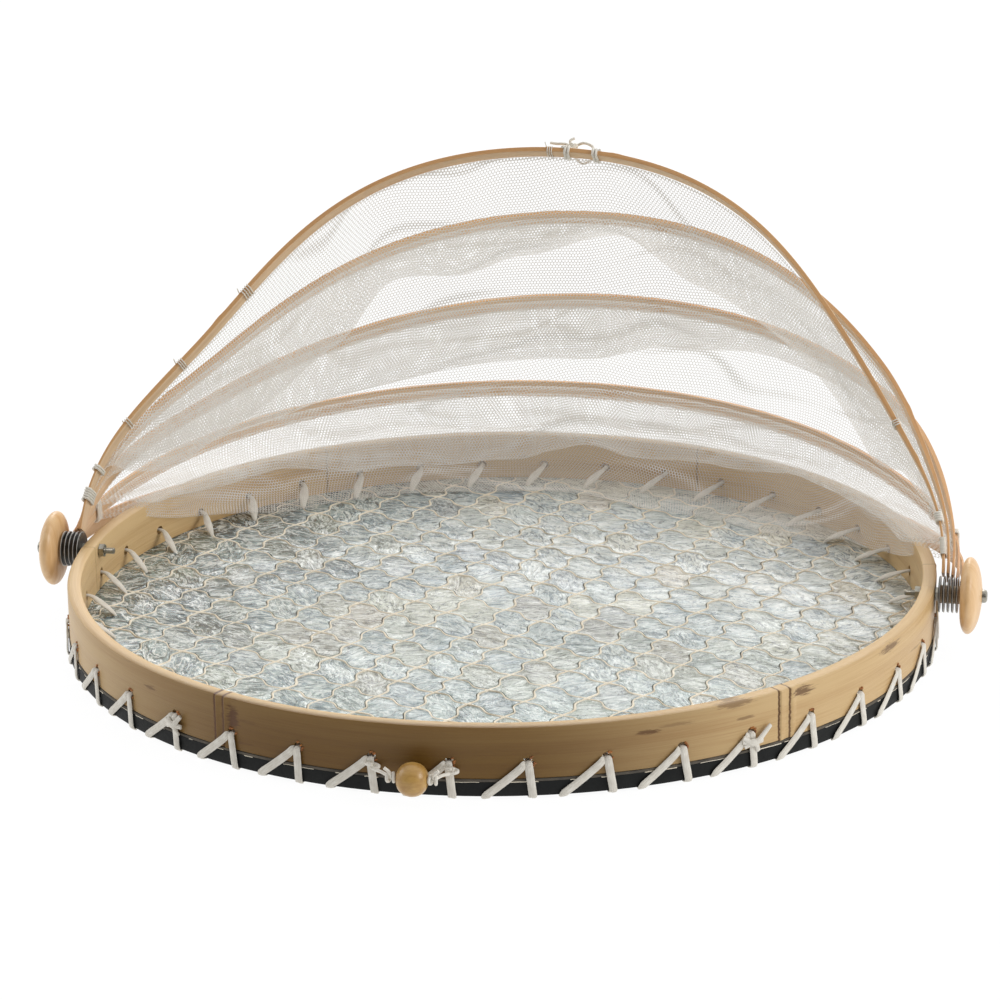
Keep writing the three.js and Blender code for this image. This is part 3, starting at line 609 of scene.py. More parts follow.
def pegs(name, count, maker):
    heap = Heap()
    for k in range(count):
        heap.add(maker(k))
    return heap.piece(name, M_BURN)


def board_pegs(radius):
    turn = circle(12)

    def peg(k):
        centre = around(BOARD_HOLE_RADIUS, hole_angle(k) + BOARD_HOLE_TURN, 0.0)
        ring = centre + np.stack([radius * np.cos(turn), radius * np.sin(turn), 0 * turn], -1)
        return np.stack([ring + UP * PEG_LOW, ring + UP * PEG_HIGH])

    return pegs("pegs", STITCHES, peg)


def rim_pegs():
    """Slightly oval pegs for the lacing holes, and two round ones for the screws."""
    turn = circle(10)

    def peg(k):
        if k < STITCHES:
            out = unit(around(1.0, hole_angle(k), 0.0))
            size, middle = LACE_HOLE_RADIUS * (1 + 0.14 * np.sin(2 * turn + k)), LACE_HOLE_Z
        else:
            out = np.array([1.0 if k == STITCHES else -1.0, 0, 0])
            size, middle = PIVOT_HOLE_RADIUS + 0 * turn, PIVOT_HEIGHT
        side = np.array([-out[1], out[0], 0])
        ring = side * (size * np.cos(turn))[:, None] + UP * (size * np.sin(turn))[:, None] + UP * middle
        return np.stack([ring + out * (RIM_INNER - PEG_PAST_RIM), ring + out * (TRAY_RADIUS + PEG_PAST_RIM)])

    return pegs("rim_pegs", STITCHES + 2, peg)


def make_edge_line():
    """Thin cream filler that shows in places between the board's edge and the rim."""
    heap = Heap()
    start, stop = 182.0, 358
    while start < stop:
        span = rng.uniform(0.5, 4.5)
        turns = np.linspace(start, start + span, 7)
        line = [around(BOARD_RADIUS + 0.02, turn, BOARD_TOP + rng.uniform(-0.1, 0.1)) for turn in turns]
        heap.add(*tube_rings(smooth_path(line, 2), rng.uniform(0.1, 0.24), 5))
        start += span + rng.uniform(0.3, 5.0)
    settle(heap.piece("edge_filler", M_GROUT, 60), "tray", "black_board")


def make_board():
    foot, edge, lift, top = FOOT_RADIUS, BOARD_RADIUS, MARGIN_LIFT, BOARD_TOP
    profile = [(0, 0), (foot, 0.0), (foot, lift - 0.4), (foot + 0.4, lift), (edge - 0.5, lift),
               (edge - 0.12, lift + 0.15), (edge, lift + 0.6), (edge, top - 0.2), (edge - 0.2, top), (0, top)]
    board = turned("board", profile, 180, M_BOARD, closed=False)
    carve(board, board_pegs(LACE_HOLE_RADIUS), 30)
    settle(board, "tray", "black_board", "base_board")


# The shell pieces' lattice as seen on the floor: one step down to the right, one step down to the left
SHELL_RIGHT, SHELL_LEFT = np.array([18.3, -11.7]), np.array([-5.8, -19.1])
SHELL_WAVE, SHELL_LIMIT, SHELL_ROWS, SHELL_BED = 1.55, 196.6, 22, 0.75
# A shell piece from its edge inwards: inset, and height over the face
SHELL_RINGS = ((0.7, -0.85), (0.68, -0.3), (0.85, -0.08), (1.5, 0.02), (3.5, 0.1), (6.5, 0.14))
# A grout line's section: share of its half width, and height over the face, or None for its crest
GROUT_SECTION = [(-1.0, -0.9), (-0.95, -0.12), (-0.45, None), (0.45, None), (0.95, -0.12), (1.0, -0.9)]
GROUT_HALF, GROUT_CREST, GROUT_SHIFT = 0.47, 0.22, 0.28


def wavy_side(start, step, outward):
    """The S-shaped side of a shell piece: drawn in at its start, swollen near the round bottom."""
    t = np.linspace(0, 1, 13)[:, None]
    normal = np.array([-step[1], step[0]]) / np.linalg.norm(step)
    normal = normal if normal @ outward > 0 else -normal
    swell = -SHELL_WAVE * (np.sin(2 * np.pi * t) - 0.18 * np.sin(4 * np.pi * t))
    return start + step * t + normal * swell


def laid_by_hand(plan):
    """A small error in the laying that neighbouring pieces share."""
    x, y = plan[..., 0], plan[..., 1]
    return plan + np.stack([1.2 * np.sin(x / 23 + y / 31 + 1) + 0.7 * np.sin(x / 9 - y / 13),
                            1.2 * np.sin(y / 27 - x / 37) + 0.7 * np.sin(y / 11 + x / 15)], -1)


def add_shell(heap, plan):
    """A shell piece, a little tilted, with a rounded edge and a flat middle."""
    centre = plan.mean(0)
    tilt, rise = rng.normal(0, 0.008, 2), rng.uniform(-0.08, 0.1)
    away = plan - centre
    distance = np.linalg.norm(away, axis=1, keepdims=True)
    rings = []
    for inset, z in SHELL_RINGS:
        ring = centre + away * np.maximum(1 - inset / distance, 0.12)
        level = FACE_TOP + z + (rise + (ring - centre) @ tilt) * (z > -0.5)
        rings.append(np.column_stack([ring, level]))
    heap.add(np.array(rings))


def add_grout(heap, line, below, i, j):
    """The grout along one lower side of a shell piece, widest at the piece's corners."""
    keep = np.where(np.linalg.norm(line, axis=1) < SHELL_LIMIT - 0.3)[0]
    if len(keep) < 3:
        return
    line = smooth_path(line[keep[0]:keep[-1] + 1], 2)
    along = unit(np.gradient(line, axis=0))
    normal = np.stack([-along[:, 1], along[:, 0]], -1)
    normal = normal * np.sign((normal @ below).mean())
    line = line + normal * GROUT_SHIFT
    t = np.linspace(0, 1, len(line))
    half = GROUT_HALF + 0.5 * np.exp(-((t - 1) / 0.14) ** 2) + 0.25 * np.exp(-(t / 0.1) ** 2)
    half = half + 0.12 * np.sin(9 * t + i + 2 * j) + rng.uniform(-0.1, 0.12)
    crest = GROUT_CREST + 0.08 * np.sin(7 * t + 2 * i + j)
    heap.add(np.stack([np.column_stack([line + normal * (half * share)[:, None],
                                        FACE_TOP + (crest if z is None else z + 0 * t)])
                       for share, z in GROUT_SECTION], 1))


def make_shell_face():
    middle = (SHELL_RIGHT + SHELL_LEFT) / 2
    lower = [wavy_side(SHELL_LEFT, SHELL_RIGHT, SHELL_LEFT), wavy_side(SHELL_RIGHT, SHELL_LEFT, SHELL_RIGHT)]
    # the two upper sides are the lower sides of the neighbours above, one step back
    outline = np.vstack([(lower[0] - SHELL_LEFT)[:-1], lower[1][:-1], lower[0][::-1][:-1],
                         (lower[1] - SHELL_RIGHT)[::-1][:-1]])
    pieces, seams = Heap(), Heap()
    for i in range(-SHELL_ROWS, SHELL_ROWS + 1):
        for j in range(-SHELL_ROWS, SHELL_ROWS + 1):
            corner = i * SHELL_RIGHT + j * SHELL_LEFT
            if np.linalg.norm(corner + middle) > SHELL_LIMIT + 16:
                continue
            plan = laid_by_hand(outline + corner)
            radius = np.linalg.norm(plan, axis=1, keepdims=True)
            if radius.min() > SHELL_LIMIT - 3:
                continue
            add_shell(pieces, plan * np.minimum(1, (SHELL_LIMIT - 0.4) / radius))
            for side, below in zip(lower, (SHELL_LEFT, SHELL_RIGHT)):
                add_grout(seams, laid_by_hand(side + corner), below, i, j)
    edge, low, top, floor = BOARD_RADIUS, BOARD_TOP, FACE_TOP, FACE_TOP - SHELL_BED
    profile = [(0, low), (edge - 0.1, low), (edge, low + 0.3), (edge, top - 0.2), (edge - 0.3, top),
               (SHELL_LIMIT + 0.2, top), (SHELL_LIMIT, floor), (0, floor)]
    bed = turned("shell_bed", profile, 180, M_GROOVE, closed=False)
    carve(bed, board_pegs(FACE_HOLE_RADIUS), 35)
    for piece in (pieces.piece("shell_pieces", M_SHELL, 40), seams.piece("shell_grout", M_GROUT, 60), bed):
        settle(piece, "tray", "capiz", "capiz_face")


# Painted shade on the rim's front: its middle, and where it fades to the left and to the right, in degrees
SHADE_MIDDLE, SHADE_LEFT, SHADE_RIGHT = 262, (8, 62), (18, 58)


def rim_attributes(mesh):
    """Grain round the rim, and where painted shade lies on its front, over a little darker tint on all its
    outside.
    """
    points = np.array([v.co for v in mesh.vertices]) / MM
    angle = np.degrees(np.arctan2(points[:, 1], points[:, 0])) % 360
    radius = np.hypot(points[:, 0], points[:, 1])
    off = (angle - SHADE_MIDDLE + 180) % 360 - 180
    front = np.where(off < 0, 1 - ease(-off, *SHADE_LEFT), 1 - ease(off, *SHADE_RIGHT))
    lower = 1 - ease(points[:, 2], 18, RIM_TOP)
    outside = ease(radius, TRAY_RADIUS - 2.5, TRAY_RADIUS - 0.6)
    write_attribute(mesh, "grain", np.column_stack([np.radians(angle) * TRAY_RADIUS, points[:, 2], radius]))
    # painted shade on the front, stronger lower down, over a little darker tint on all the outside
    write_attribute(mesh, "tone", (0.14 + (0.7 + 0.14 * lower) * front) * outside)


def make_rim():
    steps, edge, low, high = 1080, 0.9, 15.0, 22.0
    inner, outer, face, top = RIM_INNER, TRAY_RADIUS, FACE_TOP, RIM_TOP
    angle = np.linspace(0, 360, steps, endpoint=False)
    section = [(inner, face + 0.3), (inner + 0.3, face), (outer - 0.3, face), (outer, face + 0.3),
               (outer, low), (outer, high), (outer, top - edge), (outer - 0.35 * edge, top - 0.3 * edge),
               (outer - edge, top), (inner + edge, top), (inner + 0.35 * edge, top - 0.3 * edge),
               (inner, top - edge), (inner, high), (inner, low)]
    r, z = np.array(section).T
    # a node is a raised lip beside a groove
    lumps = np.zeros(steps)
    for where, _, depth in RIM_NODES:
        near = (angle - where + 180) % 360 - 180
        lumps += depth * (1.3 * np.exp(-((near - 0.4) / 0.4) ** 2) - 0.5 * np.exp(-(near / 0.2) ** 2))
    turn = np.radians(angle)[:, None]
    wave = 0.15 * np.sin(turn * 3 + 1) + 0.08 * np.sin(turn * 11)
    radius = r + lumps[:, None] * np.where(r > (inner + outer) / 2, 0.7, 0.25)
    height = z + np.where(z > top - 1.2, wave, 0.0)
    rings = np.stack([radius * np.cos(turn), radius * np.sin(turn), height], -1)
    rim = build("rim", rings, band_faces(steps, len(section), True), M_RIM, 30)
    tidy(rim)
    carve(rim, rim_pegs(), 30)
    rim_attributes(rim.data)
    settle(rim, "tray", "bamboo_rim", "rim_hoop")


def make_chips():
    """The torn edge of each lacing hole."""
    chips = Heap()
    for k in range(STITCHES):
        for _ in range(5):
            turn = math.radians(rng.uniform(-50, 110))
            reach = LACE_HOLE_RADIUS + rng.uniform(-0.15, 0.35)
            angle = hole_angle(k) + math.degrees(reach * math.cos(turn) / TRAY_RADIUS)
            z = LACE_HOLE_Z + reach * math.sin(turn)
            size = rng.uniform(0.45, 0.95)
            line = places((TRAY_RADIUS - 0.25, angle - 0.12 * size, z - 0.5 * size),
                          (TRAY_RADIUS + 0.22, angle, z),
                          (TRAY_RADIUS + 0.05, angle + 0.3 * size, z + 0.35 * size))
            chips.add(*tube_rings(smooth_path(line, 3), [0.25, 0.4, 0.5, 0.5, 0.42, 0.3, 0.15], 5))
    settle(chips.piece("hole_chips", M_BURN, 50), "tray", "bamboo_rim")


# The two legs of a stitch: lean in degrees, its landing in stitches back, and its side of the hole
LEG_WIDTH, LEGS = 3.5, ((0.45, 0, 0.5), (-5.3, 1, -0.5))
# The two joins in the lacing, and how far the longer tail of each reaches past the other's
JOINS = ((-3, 0.0), (5, 2.4))


def lace_inside(heap, k):
    """The spindle inside, from the rim's hole down to the board's hole."""
    angle = hole_angle(k)
    hole = angle + BOARD_HOLE_TURN
    puff = rng.uniform(-0.25, 0.25)
    start, bend, low, end = places((TRAY_RADIUS - 1.5, angle, LACE_HOLE_Z),
                                   (LACE_INSIDE - 1.2, angle, LACE_HOLE_Z - 0.2),
                                   (BOARD_HOLE_RADIUS + 0.9, hole, FACE_TOP + 1.0),
                                   (BOARD_HOLE_RADIUS, hole, FACE_TOP - 1.5))
    middle = 0.4 * bend + 0.6 * low + UP * (0.55 + 0.4 * puff)
    slope = unit(np.cross(low - bend, around(1.0, angle + 90, 0.0)))
    slope = slope if slope[2] > 0 else -slope
    lay_strip(heap, [start, bend, middle, low, end], [2.0, 2.5, 4.6 + puff, 2.6, 1.4],
              [UP, UP, slope, slope, slope], 5, 0.9, 0.35)


def lace_leg(heap, k, lean, back, shift):
    """A leg outside, from the rim's hole down and in under the board."""
    angle = hole_angle(k)
    landing = angle + BOARD_HOLE_TURN - back * STITCH_PITCH
    beside = landing + 0.5 * shift
    lean = lean + rng.uniform(-0.25, 0.25)
    foot = angle + lean
    out, foot_out = around(1.0, angle, 0.0), around(1.0, foot, 0.0)
    rim, edge, hole, high, low = TRAY_RADIUS, BOARD_RADIUS, BOARD_HOLE_RADIUS, LACE_HOLE_Z, LACE_UNDER
    line = places((rim - 2.0, angle, high + shift * 0.6),
                  (rim + 0.75, angle + 0.1 * lean, high - 0.5 + shift * 0.4),
                  (rim + 1.0, angle + 0.22 * lean, high - 3.0), (edge + 0.75, angle + 0.62 * lean, 7.4),
                  (edge + 0.85, foot - 0.04 * lean, 2.6), (edge + 0.1, foot, low + 0.15),
                  (edge - 2.5, foot, low), (hole + 3.0, landing, low), (hole, beside, low + 0.1),
                  (hole, beside, low + 2.5))
    lay_strip(heap, line, [2.2, 3.1, *[LEG_WIDTH] * 5, 2.6, 1.6, 1.6],
              [UP, out, out, foot_out, foot_out, foot_out - UP, -UP, -UP, -UP, foot_out], 4, 0.8, 0.15)


def lace_join(heap, k, reach):
    """A flat knot over the legs with a long and a short end."""
    angle = hole_angle(k)
    out = around(1.0, angle, 0.0)
    for ends in (((-1.6 - 0.4 * reach, 14.5 + 0.4 * reach), (0.2, 12.6), (2.4 + reach, 17.2 + 0.5 * reach)),
                 ((-2.2, 11.2), (0.1, 12.9), (1.5, 8.2)),
                 ((-2.6, 13.6), (0.0, 13.0), (2.6, 12.4))):
        line = places(*[(TRAY_RADIUS + 1.5 + 1.2 * (n == 1), angle + turn * 0.55, z)
                        for n, (turn, z) in enumerate(ends)])
        lay_strip(heap, line, [2.2, 3.0, 2.0], [out] * 3, 6, 0.9, 0.2)


def make_lacing():
    heap = Heap()
    for k in range(STITCHES):
        lace_inside(heap, k)
        for leg in LEGS:
            lace_leg(heap, k, *leg)
    for k, reach in JOINS:
        lace_join(heap, k, reach)
    settle(heap.piece("lacing", M_LACE, 60), "tray", "lacing", *[f"lacing_{n}" for n in range(1, 6)])


# pivots

SCREW_START, THREADS, THREAD_START, THREAD_END, THREAD_PITCH = 186.1, 22, 186.6, 198.0, 0.5
SCREW_RADIUS, THREAD_ROOT, SCREW_HEAD_RADIUS, SHAFT_TIP = 1.5, 1.36, 3.0, 1.2
WASHERS, WASHER_START, WASHER_PITCH, WASHER_BORE = 5, 201.5, 2.0, 1.8
KNOB_RADIUS, KNOB_FOOT, KNOB_EDGE, KNOB_RECESS = 17.5, 10.0, 3.5, 3.6
# How far the head goes out from its start: radius and length, to a dimple on the axis
SCREW_HEAD = [(3.0, 1.0), (2.7, 1.8), (2.0, 2.2), (1.5, 2.1), (1.2, 1.4), (0, 1.3)]


def make_screw(side, axis, place):
    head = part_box("knob_right")[1].x / MM + 0.1
    threads = []
    for n in range(THREADS):
        x = THREAD_START + n * THREAD_PITCH
        threads += [(THREAD_ROOT, x), (SCREW_RADIUS, x + 0.2)]
    profile = [(0, SCREW_START), (SHAFT_TIP, SCREW_START), *threads, (SCREW_RADIUS, THREAD_END),
               (SCREW_RADIUS, head), (SCREW_HEAD_RADIUS, head), *[(r, head + x) for r, x in SCREW_HEAD]]
    screw = turned(f"screw_{side}", profile, 32, M_STEEL, place, axis, 35, closed=False)
    settle(screw, "tray", "steel", f"pivot_screw_{side}")


def make_washers(side, axis, place):
    """A black and a thinner zinc washer between the ends of neighbouring hoops."""
    for n in range(WASHERS):
        start = WASHER_START + n * WASHER_PITCH + 0.1
        for finish, slot, name, low, high, radius in (
                (M_WASHER, "black_washer", f"washer_{side}_{n + 1}", start, start + 0.42, 8.1),
                (M_ZINC, "steel", None, start + 0.44, start + 0.74, 8.35)):
            ring = [(WASHER_BORE, low), (radius - 0.12, low), (radius, low + 0.08), (radius, high - 0.08),
                    (radius - 0.12, high), (WASHER_BORE, high)]
            washer = turned(f"{slot}_{side}_{n + 1}", ring, 64, finish, place, axis, 30)
            settle(washer, "tray", slot, *([name] if name else []))


def make_knob(side, axis, place):
    start, end = sorted(abs(corner.x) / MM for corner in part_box(f"knob_{side}"))
    turns = np.linspace(0, np.pi / 2, 14)
    bulge = [(KNOB_FOOT + (KNOB_RADIUS - KNOB_FOOT) * math.sin(t), start + KNOB_EDGE * (1 - math.cos(t)))
             for t in turns[:-1]]
    dome = [(KNOB_RADIUS * math.cos(t), start + KNOB_EDGE + (end - start - KNOB_EDGE) * math.sin(t))
            for t in turns]
    dome = [point for point in dome if point[0] > KNOB_RECESS]
    profile = [(WASHER_BORE, start), *bulge, *dome, (3.5, end), (3.3, end - 0.3), (WASHER_BORE, end - 0.3)]
    knob = turned(f"knob_{side}_fine", profile, 72, M_KNOB, place, axis, 40)
    settle(knob, "tray", "knob_wood", f"knob_{side}")


def make_pivots():
    place = (0, 0, PIVOT_HEIGHT)
    for side, axis in (("right", "X"), ("left", "-X")):
        make_screw(side, axis, place)
        make_washers(side, axis, place)
        make_knob(side, axis, place)
        for nut in (f"pivot_nut_{side}", f"lock_nut_{side}"):
            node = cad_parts[nut]
            node.data.materials.clear()
            node.data.materials.append(M_STEEL)


# hoops

# How far a hoop's ends are raised over its eyes, and its knots: first, shift per hoop and pitch, in degrees
HOOP_RISE, FIRST_KNOT, KNOT_SHIFT, KNOT_PITCH = 9, 18, 11, 62


def hoop_plane(hoop, angle):
    """The hoop's curve in its own plane: along the pivots, and away from them."""
    angle = np.asarray(angle, float)
    fold = np.minimum(angle, 180 - angle)
    flare, skew_on = ease(fold, 0, 25), ease(fold, 12, 37)
    turn = np.radians(angle)
    pinch = hoop["pinch"] * TRAY_RADIUS * np.sin(2 * turn) ** 2 * (1 + np.cos(2 * turn))
    skew = hoop["skew"] * TRAY_RADIUS * np.sin(2 * turn) * skew_on
    radius = hoop["end"] + (hoop["crown"] - hoop["end"]) * flare - pinch + skew
    return radius * np.cos(turn), radius * np.sin(turn) + HOOP_RISE * (1 - flare)


def on_hoop(name, angle, outward=0.0, across=0.0):
    hoop = HOOPS[name]
    angle = np.asarray(angle, float)
    x, rise = hoop_plane(hoop, angle)
    x0, r0 = hoop_plane(hoop, np.maximum(angle - 0.5, 0))
    x1, r1 = hoop_plane(hoop, np.minimum(angle + 0.5, 180))
    run = unit(np.stack([x1 - x0, r1 - r0], -1))
    x = x + run[..., 1] * outward
    rise = rise - run[..., 0] * outward
    opened = math.radians(hoop["open"])
    return np.stack([x, rise * math.cos(opened) - across * math.sin(opened),
                     PIVOT_HEIGHT + rise * math.sin(opened) + across * math.cos(opened)], -1)


def hoop_thickness(angle):
    fold = np.minimum(angle, 180 - np.asarray(angle, float))
    return HOOP_END + (HOOP_THICKNESS - HOOP_END) * ease(fold, 8, 25)


def hoop_strip(name, number, half, round_edge):
    """The bent strip, with rounded edges; the attribute for the darker tint is 1 on the cut edges' corners.
    """
    angle = np.linspace(0, 180, 241)
    thick = hoop_thickness(angle) / 2
    length = run_length(on_hoop(name, angle))
    knots = np.zeros(len(angle))
    for where in np.arange(FIRST_KNOT + KNOT_SHIFT * number, 170, KNOT_PITCH):
        knots += 0.35 * np.exp(-((angle - where) / 0.9) ** 2)
    rings, grain, edge = [], [], []
    for out, across in ((1, 1), (1, -1), (-1, -1), (-1, 1)):
        for step in ((0, 1) if out * across > 0 else (1, 0)):
            o = out * (thick - (0 if step else round_edge * 0.6)) + (knots if out > 0 else 0)
            a = across * (half - (round_edge if step else 0))
            rings.append(on_hoop(name, angle, o, a))
            grain.append(np.column_stack([length + 500 * number, np.full(len(angle), a), o]))
            edge.append(np.full(len(angle), 0.0 if step else 1.0))
    rings, grain, edge = (np.stack(rows, 1) for rows in (rings, grain, edge))
    strip = build(f"{name}_strip", rings, loft(rings), M_HOOP, 30, grain=grain.reshape(-1, 3),
                  tone=edge.ravel())
    tidy(strip)
    return strip


def make_hoops():
    half, round_edge, eye_half = HOOP_WIDTH / 2, 0.35, 0.55
    for number, name in enumerate(HOOPS):
        strip = hoop_strip(name, number, half, round_edge)
        # the round eyes at the screws
        eyes, turn = Heap(), circle(32)
        for x in (HOOPS[name]["end"], -HOOPS[name]["end"]):
            ring = np.stack([0 * turn, half * np.cos(turn), PIVOT_HEIGHT + half * np.sin(turn)], -1)
            eyes.add(np.stack([ring + (x - eye_half, 0, 0), ring + (x + eye_half, 0, 0)]))
        disc = eyes.piece(f"{name}_ends", M_HOOP, 30, tone=np.zeros(eyes.size))
        disc.parent = strip
        settle(strip, name, "bamboo_hoop", name)


# net, gore by gore

NET_GAP, NET_THICKNESS, NET_LAYER, SEWING_INSET = 0.4, 0.8, 1.2, 2.05
# The lacing spindles lift the net that lies on the tray
LINING_START = FOOT_RADIUS
LINING_SLOPE = (LACE_HOLE_Z - 9.85) / (LACE_INSIDE - BOARD_HOLE_RADIUS)
RIM_OUTSIDE = TRAY_RADIUS + NET_LAYER
GORE_START, GORE_END, GORE_ROWS, GORE_COLUMNS = 7, 173, 150, 49
# How much smaller the holes are in the sewn hems
HEM = 0.3

# How deep each net sags, and how far out the back one's fold lies: degrees and shares of the tray's radius
FRONT_SAG = [(7, 0.002), (20, 0.03), (33, 0.15), (56, 0.135), (69, 0.11), (81, 0.03), (94, 0.09), (102, 0.12),
             (113, 0.08), (122, 0.17), (134, 0.205), (150, 0.18), (173, 0.002)]
SECOND_SAG = [(7, 0), (34, 0.045), (45, 0.05), (59, 0.06), (75, 0.11), (88, 0.165), (109, 0.16), (130, 0.14),
              (173, 0)]
THIRD_SAG = [(7, 0), (48, 0.07), (65, 0.12), (80, 0.14), (87, 0.12), (99, 0.165), (106, 0.17), (120, 0.15),
             (140, 0.08), (173, 0)]
BACK_TIP = [(25, 0.94), (34, 0.915), (51, 0.8), (72, 0.77), (91, 0.835), (101, 0.83), (118, 0.86),
            (136, 0.875), (155, 0.94)]
# How deep the middle of a hanging net's curve lies, as a share of its two low inner points
CURVE_SHARE = 0.75


def lining_z(radius, layer):
    return (FACE_TOP + 0.8 + np.maximum(radius - LINING_START, 0) * LINING_SLOPE
            + layer * NET_LAYER * math.hypot(1, LINING_SLOPE))


def rim_layer(layer):
    return RIM_TOP + 0.8 + layer * NET_LAYER


def wall_layer(layer):
    return RIM_INNER - 0.8 - layer * NET_LAYER


def share_at(table, angle):
    """Eased between the rows of a table of degrees and shares."""
    degrees, shares = np.array(table).T
    row = int(np.clip(np.searchsorted(degrees, angle) - 1, 0, len(degrees) - 2))
    return shares[row] + (shares[row + 1] - shares[row]) * ease(angle, degrees[row], degrees[row + 1])


def sewn_edges(front, rear, angle):
    under = -(hoop_thickness(angle) / 2 + NET_GAP + NET_THICKNESS / 2)
    return on_hoop(front, angle, under, -SEWING_INSET), on_hoop(rear, angle, under, SEWING_INSET)


def hanging_rail(sags):
    """A net that hangs free: its line from hoop to hoop at an angle along them."""
    def rail(angle, top, end):
        low = end[2] - share_at(sags, angle) * TRAY_RADIUS / CURVE_SHARE
        t = np.linspace(0, 1, 25)[:, None]
        a, b = np.array([top[0], top[1], low]), np.array([end[0], end[1], low])
        return (1 - t) ** 3 * top + 3 * t * (1 - t) ** 2 * a + 3 * t * t * (1 - t) * b + t ** 3 * end
    return rail


def plan_angle(place):
    return math.degrees(math.atan2(place[1], place[0]))


def near_pivot(angle):
    """0 beside the pivots, where the fold has run out, and 1 where it has its full depth."""
    return ease(min(angle, 180 - angle), 7, 30)


def third_rail(angle, top, end):
    """Down from the third hoop into the tray, up its wall and over the rim to the fourth hoop."""
    fold, width, full = RIM_INNER - 8.5, 3.0, near_pivot(angle)
    low = max(end[2] - share_at(THIRD_SAG, angle) * TRAY_RADIUS, lining_z(fold + width, 1) + NET_LAYER)
    crest, out = rim_layer(2), plan_angle(end)
    low = crest - 2 + (low - crest + 2) * full
    fold = wall_layer(2) - width + (fold - wall_layer(2) + width) * full
    between = (plan_angle(top) + out) / 2
    hang = max(top[2] - share_at(SECOND_SAG, angle) * TRAY_RADIUS - width, low + (top[2] - low) * 0.4)
    inner = places((fold, between, low + (hang - low) * 0.4), (fold + width / 4, between, low),
                   (fold + width, out, low + NET_LAYER * full),
                   (wall_layer(2), out, max(crest - NET_LAYER, low + NET_LAYER * full)),
                   (wall_layer(1), out, crest + NET_GAP), (RIM_OUTSIDE - 2 * NET_LAYER, out, crest))
    return np.array([top, (top[0], top[1], hang), *inner, end])


def back_rail(angle, top, end):
    """From the fourth hoop over the rim onto the tray, back under itself and out to the back hoop."""
    out, full = plan_angle(end), near_pivot(angle)
    tip = share_at(BACK_TIP, out) * TRAY_RADIUS
    knee = max(LINING_START, tip + 2 * NET_LAYER)

    def over(layer):
        wall, crest = wall_layer(layer), rim_layer(layer)
        start = (wall, crest - 2 * NET_LAYER)
        run = [(wall, lining_z(wall, layer) + NET_GAP), (knee, lining_z(knee, layer)),
               (tip + NET_LAYER, lining_z(tip + NET_LAYER, layer))]
        run = [(start[0] + (r - start[0]) * full, out, start[1] + (z - start[1]) * full) for r, z in run]
        return places((RIM_OUTSIDE, out, crest), (wall + NET_LAYER, out, crest),
                      (wall, out, crest - NET_LAYER), *run)

    upper, lower = over(1), over(0)
    turn_back = (upper[-1] + lower[-1]) / 2 - around(1.0, out, 0.0) * NET_LAYER * full
    return np.array([top, *upper, turn_back, *lower[::-1], end])


def even_line(points, count):
    """The same line with count points, evenly spaced."""
    length = run_length(points)
    at = np.linspace(0, length[-1], count)
    return np.stack([np.interp(at, length, part) for part in points.T], 1), length[-1]


def gore_grid(front, rear, rail, corners):
    """The cloth's lines across, straightened beside the pivots and rounded, and their lengths."""
    lines, lengths = [], []
    for angle in np.linspace(GORE_START, GORE_END, GORE_ROWS):
        points = rail(angle, *sewn_edges(front, rear, angle))
        straight = points[0] + np.linspace(0, 1, len(points))[:, None] * (points[-1] - points[0])
        points = straight + (points - straight) * ease(min(angle, 180 - angle), 8, 17)
        for _ in range(corners):
            # corner cutting keeps the two sewn ends and rounds what lies between
            q, r = 0.75 * points[:-1] + 0.25 * points[1:], 0.25 * points[:-1] + 0.75 * points[1:]
            points = np.vstack([points[:1], np.stack([q, r], 1).reshape(-1, 3), points[-1:]])
        line, length = even_line(points, GORE_COLUMNS)
        lines.append(line)
        lengths.append(length)
    return np.array(lines), np.array(lengths)


def puckered(grid, u, v, free, depth):
    """Soft folds that run along the cloth, and a few that fan out from the hoops."""
    normal = unit(np.cross(np.gradient(grid, axis=0), np.gradient(grid, axis=1)))
    pucker = (1.1 * np.sin(v / 7 + 1.5 * np.sin(u / 41)) * np.sin(u / 53 + 1)
              + 0.7 * np.sin(u / 29 + v / 19) + 0.5 * np.sin(v / 3.1 + u / 37) * np.sin(u / 31))
    return grid + normal * (pucker * free * depth)[..., None]


def make_gore(name, front, rear, rail, corners, depth, openness):
    grid, lengths = gore_grid(front, rear, rail, corners)
    share = np.linspace(0, 1, GORE_COLUMNS)
    along = np.r_[0, np.cumsum(np.linalg.norm(np.diff(grid, axis=0), axis=2).mean(1))]
    u = np.broadcast_to(along[:, None], grid.shape[:2])
    v = (share[None] - 0.5) * lengths[:, None]
    grid = puckered(grid, u, v, (4 * share * (1 - share))[None] ** 0.7, depth)
    loose = np.full(GORE_COLUMNS, openness)
    loose[[0, -1]] = -HEM
    sheet = build(name, grid, band_faces(GORE_ROWS, GORE_COLUMNS, False, False), M_NET, 180,
                  cloth=np.stack([u, v, 0 * v], -1).reshape(-1, 3),
                  open=np.broadcast_to(loose[None], grid.shape[:2]).ravel())
    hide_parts(f"net_{name}")
    if name == "back_gore":
        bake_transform(sheet)
        return
    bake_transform(sheet)


def make_net():
    """Each gore: its line across, corner cuts, depth of puckers, and how much wider its holes are."""
    hoops = list(HOOPS)
    for n, (name, *row) in enumerate((("front_gore", hanging_rail(FRONT_SAG), 0, 1.0, 0.0),
                                      ("second_gore", hanging_rail(SECOND_SAG), 0, 1.0, 0.0),
                                      ("third_gore", third_rail, 2, 0.35, 0.04),
                                      ("back_gore", back_rail, 2, 0.12, 0.075))):
        make_gore(name, hoops[n], hoops[n + 1], *row)


# cords

LOOP_CORD, LOOP_ANGLE = 0.7, 84.6
